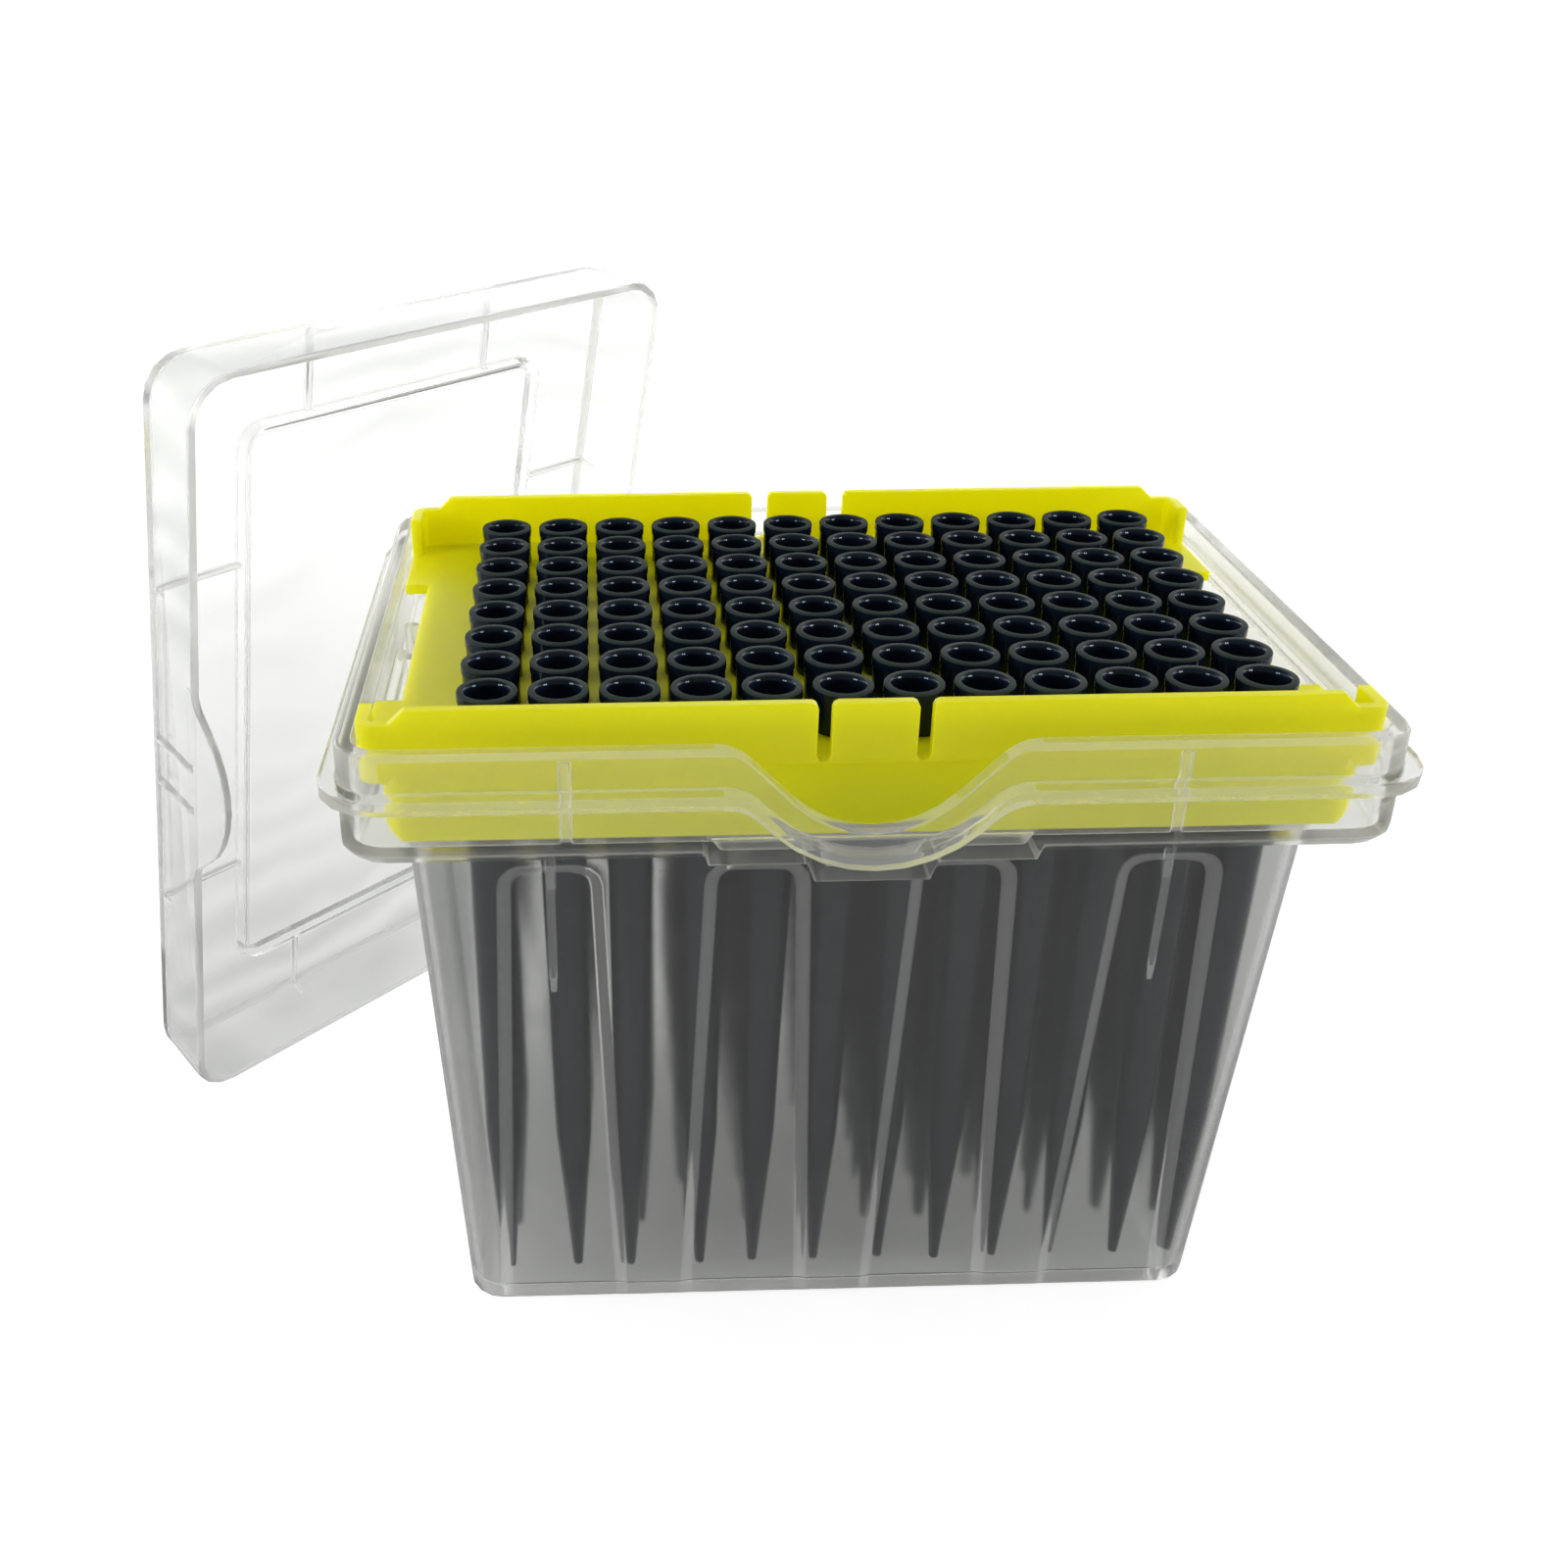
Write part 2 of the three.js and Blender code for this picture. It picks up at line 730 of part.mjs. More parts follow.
/** The stepped middle of the panel: sunk on the outside and raised by as much on the inside. */
function lidStep() {
  const inner = { ...stepEdge, r: lidStepCorner };
  const outer = grown(inner, -lidWall);
  const raised = loftOutlines([
    [lidWall / 2, grown(inner, lidStepDraft)],
    [lidWall + lidStepHeight, inner],
  ]);
  const sunk = loftOutlines([
    [-through, grown(outer, lidStepDraft)],
    [lidStepHeight, outer],
  ]);
  return { raised, sunk };
}

/** A thin rib from the step across the panel and up a wall, in the plane of the wall's normal. */
function lidRib(place, from, wallAt, turn) {
  const bite = lidWall / 2;
  const low = lidWall - bite;
  const profile = [
    new THREE.Vector3(place, from - bite, low),
    new THREE.Vector3(place, wallAt(0) - bite, low),
    new THREE.Vector3(place, wallAt(lidWall + lidRibRise) - bite, lidWall + lidRibRise),
    new THREE.Vector3(place, wallAt(lidStepHeight) - lidStepHeight, lidWall + lidStepHeight / 2),
    new THREE.Vector3(place, from - bite, lidWall + lidStepHeight / 2),
  ];
  const ring = (dx) => profile.map((p) => new THREE.Vector3(p.x + dx, p.y, p.z));
  const rib = loftRings([ring(-lidRibThickness / 2), ring(lidRibThickness / 2)]);
  return rib.rotate([0, 0, turn]);
}

function lidRibs() {
  const ribs = [];
  const wallTo = (panel, edge) => (z) => THREE.MathUtils.lerp(panel, edge, z / lidDepth);
  for (const side of [-1, 1]) {
    for (const turn of [0, 180]) {
      const toLong = wallTo(lidPanel.y, lidRim.y);
      const toShort = wallTo(lidPanel.x, lidRim.x);
      ribs.push(lidRib(side * lidRibPlaceX, stepEdge.y, toLong, turn));
      ribs.push(lidRib(side * lidRibPlaceY, stepEdge.x, toShort, turn + 90));
    }
  }
  return wasm.Manifold.union(ribs);
}

/** The latch tongue, shaped to the dip of the base's flange. */
function lidTongue() {
  const dip = dipCurve(flangeDip - seatGap, flangeDipRadius);
  const edge = dip.map((p) => new THREE.Vector2(p.x, lidDepth - p.y));
  const root = [
    new THREE.Vector2(edge.at(-1).x, lidDepth - lidWall),
    new THREE.Vector2(edge[0].x, lidDepth - lidWall),
  ];
  return slabInY([...edge, ...root].reverse(), -lidRim.y, -lidRim.y + lidWall);
}

/** Two ridges across the front wall, above the tongue. */
function lidGrips() {
  const ring = (z, height) => {
    const face = THREE.MathUtils.lerp(lidPanel.y, lidRim.y, z / lidDepth);
    return [
      new THREE.Vector3(-gripWidth / 2, -face + lidWall / 2, z),
      new THREE.Vector3(-gripWidth / 2, -face, z),
      new THREE.Vector3(-gripTopWidth / 2, -face - height, z),
      new THREE.Vector3(gripTopWidth / 2, -face - height, z),
      new THREE.Vector3(gripWidth / 2, -face, z),
      new THREE.Vector3(gripWidth / 2, -face + lidWall / 2, z),
    ];
  };
  const ridge = loftRings([
    ring(gripMargin, gripEndHeight),
    ring(gripMargin + gripHeight, gripHeight),
    ring(lidDepth - gripHeight, gripHeight),
    ring(lidDepth, gripEndHeight),
  ]);
  const ridges = [-1, 1].map((side) => ridge.translate([(side * gripSpacing) / 2, 0, 0]));
  return wasm.Manifold.union(ridges);
}

function lid() {
  const step = lidStep();
  return lidShell()
    .add(step.raised)
    .subtract(step.sunk)
    .add(lidRibs())
    .add(lidTongue())
    .add(lidGrips());
}

/**
 * Stands the lid on the edge of its rim, turned so that it faces the box, and leans its step against
 * the back left corner of the flange.
 */
function leanOnBox(mesh) {
  mesh.rotation.set(0, Math.PI / 2 + lidLean, -lidYaw, 'ZYX');
  mesh.updateMatrix();
  const [end, across, open] = [0, 1, 2].map((axis) =>
    new THREE.Vector3().setFromMatrixColumn(mesh.matrix, axis),
  );
  const towardsLid = new THREE.Vector3(-open.x, -open.y, 0).normalize();
  const corner = new THREE.Vector3(flange.r - flange.x, flange.y - flange.r, flangeTop);
  const touch = corner.addScaledVector(towardsLid, flange.r);
  const standing = lidDepth * Math.sin(lidLean) + lidRim.x * Math.cos(lidLean);
  const origin = touch
    .addScaledVector(open, -(lidStepHeight + lidWall + seatGap))
    .addScaledVector(across, -lidSlide);
  origin.addScaledVector(end, (origin.z - standing) / Math.cos(lidLean));
  mesh.position.copy(origin);
}

// ---------------------------------------------------------------- assembly

const clearPlastic = new THREE.MeshStandardMaterial({
  color: 0xd9dcd6,
  roughness: 0.35,
  metalness: 0,
  transparent: true,
  opacity: 0.35,
});
const yellowPlastic = new THREE.MeshStandardMaterial({
  color: 0xe3de00,
  roughness: 0.45,
  metalness: 0,
});
const blackPlastic = new THREE.MeshStandardMaterial({
  color: 0x0b0c0f,
  roughness: 0.3,
  metalness: 0,
});

function named(name, geometry, material) {
  const mesh = new THREE.Mesh(geometry, material);
  mesh.name = name;
  return mesh;
}

const tipBox = new THREE.Group();
tipBox.add(named('base', geometryOf(base()), clearPlastic));
tipBox.add(named('tip_tray', geometryOf(tray()), yellowPlastic));

const lidMesh = named('lid', geometryOf(lid()), clearPlastic);
leanOnBox(lidMesh);
tipBox.add(lidMesh);

const rowLetters = 'ABCDEFGH';
const oneTip = tipGeometry();
eachTip((place, column, row) => {
  if (!isOuterTip(column, row)) return;
  const tip = named(`tip_${rowLetters[row]}${column + 1}`, oneTip, blackPlastic);
  tip.position.copy(place);
  tipBox.add(tip);
});

export default tipBox;
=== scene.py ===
"""Box of pipette tips: the looks around its fixed frame.

Each piece takes its place from the frame's own nodes. Lengths are in metres.
"""

import math

import bmesh
import bpy
from bpy.props import FloatProperty, FloatVectorProperty, IntProperty, PointerProperty
from bpy.types import Operator, Panel, PropertyGroup
from mathutils import Matrix, Vector
from mathutils.geometry import intersect_point_line


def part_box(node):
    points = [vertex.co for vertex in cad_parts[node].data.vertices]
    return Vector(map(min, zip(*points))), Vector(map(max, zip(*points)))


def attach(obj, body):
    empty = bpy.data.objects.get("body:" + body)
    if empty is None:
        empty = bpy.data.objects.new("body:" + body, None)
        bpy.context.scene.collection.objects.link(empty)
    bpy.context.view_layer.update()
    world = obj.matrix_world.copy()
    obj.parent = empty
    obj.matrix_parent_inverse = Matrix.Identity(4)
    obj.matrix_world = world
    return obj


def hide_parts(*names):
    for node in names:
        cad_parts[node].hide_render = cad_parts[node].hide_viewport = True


bl_info = {
    "name": "Pipette Tip Box",
    "version": (1, 0, 0),
    "blender": (4, 5, 0),
    "location": "View3D > Sidebar > Tip Box",
    "description": "Builds a box of pipette tips: base, tray, tips and lid",
    "category": "Add Mesh",
}

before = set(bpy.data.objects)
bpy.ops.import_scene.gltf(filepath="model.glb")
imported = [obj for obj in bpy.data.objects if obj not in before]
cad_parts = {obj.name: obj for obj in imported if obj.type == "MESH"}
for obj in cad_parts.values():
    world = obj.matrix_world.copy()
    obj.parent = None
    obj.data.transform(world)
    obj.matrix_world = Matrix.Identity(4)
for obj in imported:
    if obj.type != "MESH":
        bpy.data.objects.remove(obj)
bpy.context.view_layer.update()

MM = 0.001
BODY = "root"
BASE, TRAY, LID = "base", "tip_tray", "lid"
FIRST_TIP, LAST_TIP = "tip_A1", "tip_H12"
TIP_NODES = sorted(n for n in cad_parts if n.startswith("tip_") and n != TRAY)
COLUMNS, ROWS = 12, 8

SAME_POINT = 0.002 * MM
FLAT = math.radians(0.7)  # faces that meet at less than this are one face
SLIM = 1.8 * MM  # a face narrower than this between sharp edges counts as an edge itself
GENTLE = math.radians(125)  # edges that meet at more than this carry on as one line
SHARP = math.radians(30)  # faces that meet at more than this get a rounded edge between them
ABREAST = math.radians(15)  # edges at less than this to each other run side by side
SHARED_ROOM = 0.45  # share of a gap that a rounding takes when the other side is rounded too
OWN_ROOM = 0.9  # share of a gap that a rounding takes when it is alone there
LEAST_RIDGE = 0.3  # share of a slim face's outline that has to be sharp
LEAST_WEIGHT = 0.15  # a rounding with less than this share of its radius is left out


def middle(node):
    """The middle of a CAD node's box."""
    low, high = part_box(node)
    return (low + high) / 2


TIP_LOW, TIP_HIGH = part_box(FIRST_TIP)
TIP_PITCH = (middle(LAST_TIP).x - middle(FIRST_TIP).x) / (COLUMNS - 1)
GRID_MIDDLE = (middle(FIRST_TIP) + middle(LAST_TIP)) / 2
MOUTH_RADIUS = (TIP_HIGH.x - TIP_LOW.x) / 2


# ---------------------------------------------------------------- settings


def length(name, description, default, smallest=0.0):
    return FloatProperty(
        name=name,
        description=description,
        default=default,
        min=smallest,
        precision=5,
        unit="LENGTH",
        subtype="DISTANCE",
    )


def angle(name, description, degrees):
    return FloatProperty(
        name=name,
        description=description,
        default=math.radians(degrees),
        subtype="ANGLE",
    )


def share(name, description, default):
    return FloatProperty(
        name=name, description=description, default=default, min=0.0, max=1.0, subtype="FACTOR"
    )


def strength(name, description, default, **settings):
    return FloatProperty(name=name, description=description, default=default, min=0.0, **settings)


def colour(name, description, default):
    return FloatVectorProperty(
        name=name, description=description, default=default, size=3, min=0.0, max=1.0, subtype="COLOR"
    )


class TipSettings(PropertyGroup):
    """Sizes of one tip and of the grid that they stand in."""

    columns: IntProperty(name="Columns", description="Tips in each row", default=COLUMNS, min=1)
    rows: IntProperty(name="Rows", description="Tips in each column", default=ROWS, min=1)
    pitch: length("Pitch", "Distance from one tip's axis to the next", TIP_PITCH)
    full_length: length("Length", "Length of a tip", TIP_HIGH.z - TIP_LOW.z)
    mouth: length("Mouth Radius", "Outer radius at the mouth", MOUTH_RADIUS)
    socket: length("Socket Radius", "Inner radius at the mouth", 3.02 * MM)
    lead: length("Lead-In", "How far the bore narrows at the mouth", 0.34 * MM)
    lead_depth: length("Lead-In Depth", "Depth over which the bore narrows", 1.2 * MM)
    collar: length("Collar Height", "Height of the collar above the tray", 5.9 * MM)
    lip: length("Lip Height", "Height of the thicker lip at the mouth", 1.35 * MM)
    lip_step: length("Lip Step", "How far the lip stands out from the collar", 0.12 * MM)
    neck: length("Neck Radius", "Outer radius below the collar", 3.3 * MM)
    shoulder_drop: length("Shoulder Drop", "Depth at which the slim end begins", 70 * MM)
    shoulder: length("Shoulder Radius", "Outer radius where the slim end begins", 2.45 * MM)
    wall: length("Wall", "Thickness of the barrel's wall", 0.6 * MM)
    orifice: length("Orifice Radius", "Radius of the hole at the end", 0.35 * MM)
    sides: IntProperty(name="Sides", description="Facets round a tip", default=28, min=8)
    sideways: angle("Sideways Lean", "Most that a tip leans along its row", 0.55)
    lengthwise: angle("Lengthwise Lean", "Most that a tip leans along its column", 0.2)
    seed: IntProperty(name="Seed", description="Chooses how the tips lean", default=11, min=0)


class ShellSettings(PropertyGroup):
    """Roundness of the moulded pieces' edges, and the tray's holes."""

    base_edge: length("Base Edge", "Radius along the base's edges", 0.3 * MM)
    tray_edge: length("Tray Edge", "Radius along the tray's edges", 0.25 * MM)
    lid_edge: length("Lid Edge", "Radius along the lid's edges", 0.3 * MM)
    rim_from: length("Rim From", "Height from which the base is a little cloudier", 76 * MM)
    rim_edge_from: length("Rim Edge From", "Height from which edges are the rim's own", 82 * MM)
    foot_to: length("Foot To", "Height up to which the base's foot is cloudier", 1.2 * MM)
    hole: length("Hole Radius", "Radius of the tray's holes", 3.66 * MM)
    peg: length("Peg Depth", "Depth of the pegs that cut the holes", 6 * MM)
    hole_sides: IntProperty(name="Hole Sides", description="Facets round a hole", default=24, min=8)


class FinishSettings(PropertyGroup):
    """Colours and surface of the three plastics."""

    clear: colour("Clear", "Tint of the clear plastic", (0.77, 0.775, 0.765))
    clear_cloud: colour("Clear Cloud", "Tint of its cloudier parts", (0.725, 0.735, 0.725))
    frost: share("Frost", "Roughness of the base", 0.22)
    lid_frost: share("Lid Frost", "Roughness of the lid", 0.14)
    # Painted reflection streaks: the darker tint of the wave bands in the lid's colour.
    lid_painted_streaks: colour("Lid Painted Streaks", "Tint of the flow marks in the lid", (0.8, 0.81, 0.8))
    pale: colour("Pale Clear", "Tint of the rim and the lid", (0.96, 0.965, 0.95))
    edge: colour("Clear Edge", "Colour of the clear plastic's rounded edges", (0.92, 0.925, 0.90))
    clearness: share("Clearness", "Share of light that passes through the clear walls", 0.965)
    edge_clear: share("Edge Clearness", "Share of light that passes through rounded edges", 0.85)
    lid_clear: share("Lid Clearness", "Share of light that passes through the lid", 0.975)
    lid_edge_clear: share("Lid Edge Clearness", "The same for the lid's edges", 0.55)
    rim_clear: share("Rim Clearness", "Share of light that passes through the rim", 0.95)
    rim_edge_clear: share("Rim Edge Clearness", "The same for the rim's rounded edges", 0.76)
    yellow: colour("Yellow", "Colour of the tray", (0.86, 0.80, 0.002))
    yellow_deep: colour("Deep Yellow", "Colour of the tray's denser flow marks", (0.80, 0.73, 0.001))
    black: colour("Black", "Colour of the tips", (0.004, 0.008, 0.017))
    black_worn: colour("Worn Black", "Colour of the tips' duller patches", (0.008, 0.013, 0.024))
    barrel: colour("Tip Barrel", "Colour of the tips below the collar", (0.002, 0.0035, 0.006))
    barrel_worn: colour("Worn Barrel", "Colour of its duller patches", (0.003, 0.005, 0.008))
    # The matt rim is the same black plastic: its lighter colours are painted light on the tips' top
    # faces.
    rim: colour("Tip Rim Painted Lighter", "Colour of the matt rim round a tip's mouth", (0.028, 0.041, 0.037))
    rim_worn: colour("Worn Rim Painted Lighter", "Colour of the rim's duller patches", (0.038, 0.051, 0.046))


class StageSettings(PropertyGroup):
    """Floor and light."""

    floor: colour("Floor", "Colour of the floor", (0.65, 0.65, 0.65))
    floor_size: length("Floor Size", "Length of the floor's sides", 24.0)
    glow: strength("Glow", "Strength of the light that the floor gives off", 0.7)
    least_glow: share("Least Glow", "Share of the glow that the floor keeps in front", 0.25)
    dim_to: length("Dim To", "Distance behind the middle up to which the floor glows least", 0.0)
    bright_from: length("Bright From", "Distance from which the floor glows fully", 0.35)
    low_light: strength("Low Light", "Strength of the surroundings at the horizon", 0.15)
    top_light: strength("Top Light", "Strength of the surroundings straight above", 0.4)
    back_light: strength("Back Light", "Strength of the bright band low behind", 2.4)
    overhead: strength("Top Lamp", "Strength of the soft lamp above", 0.7)
    windows: strength("Windows", "Power of each pane of the two windows", 1.5, unit="POWER")


# ---------------------------------------------------------------- node trees


def link(tree, source, target):
    tree.links.new(source, target)


def add_input(tree, name, kind, default=None):
    socket = tree.interface.new_socket(name, in_out="INPUT", socket_type=kind)
    if default is not None:
        socket.default_value = default


def add_output(tree, name, kind):
    tree.interface.new_socket(name, in_out="OUTPUT", socket_type=kind)


def add_node(tree, kind, **settings):
    made = tree.nodes.new(kind)
    for key, value in settings.items():
        setattr(made, key, value)
    return made


def feed(tree, value, socket):
    """Sets a socket to a number, or links it to another socket."""
    if isinstance(value, (int, float)):
        socket.default_value = value
    else:
        link(tree, value, socket)


def arithmetic(tree, operation, first, second):
    """A Math node's result. Each value is a socket or a number."""
    made = add_node(tree, "ShaderNodeMath", operation=operation)
    feed(tree, first, made.inputs[0])
    feed(tree, second, made.inputs[1])
    return made.outputs[0]


def remapped(tree, value, low, high, to_low, to_high):
    """A value held between low and high, and stretched to the two new ends."""
    made = add_node(tree, "ShaderNodeMapRange")
    link(tree, value, made.inputs["Value"])
    ends = {"From Min": low, "From Max": high, "To Min": to_low, "To Max": to_high}
    for name, end in ends.items():
        feed(tree, end, made.inputs[name])
    return made.outputs["Result"]


def grid_points(tree, given):
    """The grid of the tips' axes, as points at the middle height given."""
    grid = add_node(tree, "GeometryNodeMeshGrid")
    for axis, count in (("X", "Columns"), ("Y", "Rows")):
        gaps = arithmetic(tree, "SUBTRACT", given.outputs[count], 1)
        span = arithmetic(tree, "MULTIPLY", gaps, given.outputs["Pitch"])
        link(tree, span, grid.inputs[f"Size {axis}"])
        link(tree, given.outputs[count], grid.inputs[f"Vertices {axis}"])
    placed = add_node(tree, "GeometryNodeTransform")
    link(tree, grid.outputs["Mesh"], placed.inputs["Geometry"])
    link(tree, given.outputs["Grid Middle"], placed.inputs["Translation"])
    return placed.outputs["Geometry"]


def grid_inputs(tree):
    add_input(tree, "Columns", "NodeSocketInt", COLUMNS)
    add_input(tree, "Rows", "NodeSocketInt", ROWS)
    add_input(tree, "Pitch", "NodeSocketFloat", TIP_PITCH)
    add_input(tree, "Grid Middle", "NodeSocketVector")


def closing(tree, geometry, given):
    """Realizes the instances, sets the material and puts the result out."""
    real = add_node(tree, "GeometryNodeRealizeInstances")
    link(tree, geometry, real.inputs["Geometry"])
    finish = add_node(tree, "GeometryNodeSetMaterial")
    link(tree, real.outputs["Geometry"], finish.inputs["Geometry"])
    link(tree, given.outputs["Material"], finish.inputs["Material"])
    out = add_node(tree, "NodeGroupOutput")
    link(tree, finish.outputs["Geometry"], out.inputs["Geometry"])


def tips_tree():
    """Geometry Nodes: one tip on every point of the grid, each leaning a little its own way."""
    tree = bpy.data.node_groups.new("Tips In A Grid", "GeometryNodeTree")
    add_input(tree, "Geometry", "NodeSocketGeometry")
    grid_inputs(tree)
    add_input(tree, "Sideways Lean", "NodeSocketFloat")
    add_input(tree, "Lengthwise Lean", "NodeSocketFloat")
    add_input(tree, "Straight From", "NodeSocketFloat")
    add_input(tree, "Seed", "NodeSocketInt")
    add_input(tree, "Material", "NodeSocketMaterial")
    add_output(tree, "Geometry", "NodeSocketGeometry")
    given = add_node(tree, "NodeGroupInput")

    def random_turn(most, offset):
        """A number from minus the most to the most. Each offset gives other numbers."""
        made = add_node(tree, "FunctionNodeRandomValue", data_type="FLOAT")
        low, high = made.inputs[2:4]  # the node's ends for plain numbers
        link(tree, arithmetic(tree, "MULTIPLY", most, -1), low)
        link(tree, most, high)
        link(tree, arithmetic(tree, "ADD", given.outputs["Seed"], offset), made.inputs["Seed"])
        return made.outputs[1]

    place = add_node(tree, "GeometryNodeInputPosition")
    axes = add_node(tree, "ShaderNodeSeparateXYZ")
    link(tree, place.outputs["Position"], axes.inputs[0])
    free = arithmetic(tree, "LESS_THAN", axes.outputs["X"], given.outputs["Straight From"])
    turn = add_node(tree, "ShaderNodeCombineXYZ")
    link(tree, random_turn(given.outputs["Lengthwise Lean"], 0), turn.inputs["X"])
    sideways = random_turn(given.outputs["Sideways Lean"], 1)
    link(tree, arithmetic(tree, "MULTIPLY", sideways, free), turn.inputs["Y"])

    copies = add_node(tree, "GeometryNodeInstanceOnPoints")
    link(tree, grid_points(tree, given), copies.inputs["Points"])
    link(tree, given.outputs["Geometry"], copies.inputs["Instance"])
    link(tree, turn.outputs["Vector"], copies.inputs["Rotation"])
    closing(tree, copies.outputs["Instances"], given)
    return tree


def holes_tree():
    """Geometry Nodes: round holes through a plate on every point of the grid."""
    tree = bpy.data.node_groups.new("Holes In A Grid", "GeometryNodeTree")
    add_input(tree, "Geometry", "NodeSocketGeometry")
    grid_inputs(tree)
    add_input(tree, "Radius", "NodeSocketFloat")
    add_input(tree, "Depth", "NodeSocketFloat")
    add_input(tree, "Sides", "NodeSocketInt")
    add_input(tree, "Material", "NodeSocketMaterial")
    add_output(tree, "Geometry", "NodeSocketGeometry")
    given = add_node(tree, "NodeGroupInput")
    peg = add_node(tree, "GeometryNodeMeshCylinder")
    link(tree, given.outputs["Sides"], peg.inputs["Vertices"])
    link(tree, given.outputs["Radius"], peg.inputs["Radius"])
    link(tree, given.outputs["Depth"], peg.inputs["Depth"])
    copies = add_node(tree, "GeometryNodeInstanceOnPoints")
    link(tree, grid_points(tree, given), copies.inputs["Points"])
    link(tree, peg.outputs["Mesh"], copies.inputs["Instance"])
    cut = add_node(tree, "GeometryNodeMeshBoolean", operation="DIFFERENCE", solver="EXACT")
    link(tree, given.outputs["Geometry"], cut.inputs["Mesh 1"])
    link(tree, copies.outputs["Instances"], cut.inputs["Mesh 2"])
    closing(tree, cut.outputs["Mesh"], given)
    return tree


def grown_by(tree, piece, name, values):
    """A new object with the plain mesh that a Geometry Nodes tree makes from a piece."""
    modifier = piece.modifiers.new(tree.name, "NODES")
    modifier.node_group = tree
    sockets = {
        s.name: s.identifier
        for s in tree.interface.items_tree
        if s.item_type == "SOCKET" and s.in_out == "INPUT"
    }
    for key, value in values.items():
        modifier[sockets[key]] = value
    return plain(piece, name)


def plain(piece, name):
    """Turns what a piece's modifiers make into a mesh of its own, and removes the piece."""
    bpy.context.view_layer.update()
    graph = bpy.context.evaluated_depsgraph_get()
    mesh = bpy.data.meshes.new_from_object(piece.evaluated_get(graph), depsgraph=graph)
    mesh.name = name
    bpy.data.objects.remove(piece)
    return in_scene(name, mesh)


def in_scene(name, data):
    made = bpy.data.objects.new(name, data)
    bpy.context.scene.collection.objects.link(made)
    return made


# ---------------------------------------------------------------- finishes

SWIRL_SCALE = 180.0  # of the patches of duller and shinier surface
PATCH_SCALE = 13.0  # of the patches in which the painted reflection streaks show
SWIRL_RANGE = (0.3, 0.7)  # the noise at which each of these is least and most
PATCH_RANGE = (0.35, 0.55)
CLOUD_RANGE = (0.35, 0.7)
PAINTED_STREAK_WAVES = {"Scale": 30.0, "Distortion": 9.0, "Detail": 2.0, "Detail Scale": 0.7}
CLOUD_HEIGHT = 6.0  # how far the surface swells with its clouds, against one step of the peel
CLEAR_IOR = 1.2  # low, so that light from behind comes nearly straight through the walls
CLEAR_SHADOW = (0.88, 0.88, 0.88, 1)  # share of the lamps' light that a clear wall lets by


def moulded_surface():
    """Shader group: cloudy colour, uneven gloss and fine orange peel, as on any moulded plastic, and
    painted reflection streaks.
    """
    name = "Moulded Surface"
    if name in bpy.data.node_groups:
        return bpy.data.node_groups[name]
    tree = bpy.data.node_groups.new(name, "ShaderNodeTree")
    add_input(tree, "Colour", "NodeSocketColor", (0.8, 0.8, 0.8, 1))
    add_input(tree, "Cloud Colour", "NodeSocketColor", (0.7, 0.7, 0.7, 1))
    add_input(tree, "Cloud Scale", "NodeSocketFloat", 40.0)
    add_input(tree, "Peel Scale", "NodeSocketFloat", 1500.0)
    add_input(tree, "Roughness", "NodeSocketFloat", 0.3)
    add_input(tree, "Unevenness", "NodeSocketFloat", 0.05)
    add_input(tree, "Peel", "NodeSocketFloat", 1.0)
    add_input(tree, "Painted Streaks", "NodeSocketFloat", 0.0)
    add_output(tree, "Colour", "NodeSocketColor")
    add_output(tree, "Roughness", "NodeSocketFloat")
    add_output(tree, "Height", "NodeSocketFloat")
    given = add_node(tree, "NodeGroupInput")
    out = add_node(tree, "NodeGroupOutput")
    place = add_node(tree, "ShaderNodeTexCoord").outputs["Object"]

    def noise(scale, detail=1):
        made = add_node(tree, "ShaderNodeTexNoise")
        link(tree, place, made.inputs["Vector"])
        feed(tree, scale, made.inputs["Scale"])
        made.inputs["Detail"].default_value = detail
        return made.outputs["Fac"]

    cloud = noise(given.outputs["Cloud Scale"])
    peel = noise(given.outputs["Peel Scale"], 2)
    swirl = noise(SWIRL_SCALE)
    # Wave bands along Z that darken the colour: painted reflection streaks.
    flow = add_node(tree, "ShaderNodeTexWave", bands_direction="Z")
    link(tree, place, flow.inputs["Vector"])
    for socket, value in PAINTED_STREAK_WAVES.items():
        flow.inputs[socket].default_value = value
    patches = remapped(tree, noise(PATCH_SCALE), *PATCH_RANGE, 0.0, 1.0)
    streaks = arithmetic(tree, "MULTIPLY", flow.outputs["Fac"], patches)
    streaks = arithmetic(tree, "MULTIPLY", streaks, given.outputs["Painted Streaks"])
    cloudy = remapped(tree, cloud, *CLOUD_RANGE, 0.0, 1.0)
    rest = arithmetic(tree, "SUBTRACT", 1.0, given.outputs["Painted Streaks"])
    cloudy = arithmetic(tree, "MULTIPLY", cloudy, rest)
    mix = add_node(tree, "ShaderNodeMix", data_type="RGBA")
    mixed, plain_colour, cloud_colour = mix.outputs[2], mix.inputs[6], mix.inputs[7]
    link(tree, arithmetic(tree, "ADD", cloudy, streaks), mix.inputs["Factor"])
    link(tree, given.outputs["Colour"], plain_colour)
    link(tree, given.outputs["Cloud Colour"], cloud_colour)
    link(tree, mixed, out.inputs["Colour"])
    swing = remapped(tree, swirl, *SWIRL_RANGE, -1.0, 1.0)
    uneven = arithmetic(tree, "MULTIPLY", swing, given.outputs["Unevenness"])
    link(tree, arithmetic(tree, "ADD", given.outputs["Roughness"], uneven), out.inputs["Roughness"])
    peel_height = arithmetic(tree, "MULTIPLY", peel, given.outputs["Peel"])
    swell = arithmetic(tree, "MULTIPLY", cloud, CLOUD_HEIGHT)
    height = arithmetic(tree, "ADD", peel_height, swell)
    link(tree, height, out.inputs["Height"])
    return tree


def new_material(name):
    material = bpy.data.materials.new(name)
    material.use_nodes = True
    material.node_tree.nodes.clear()
    return material


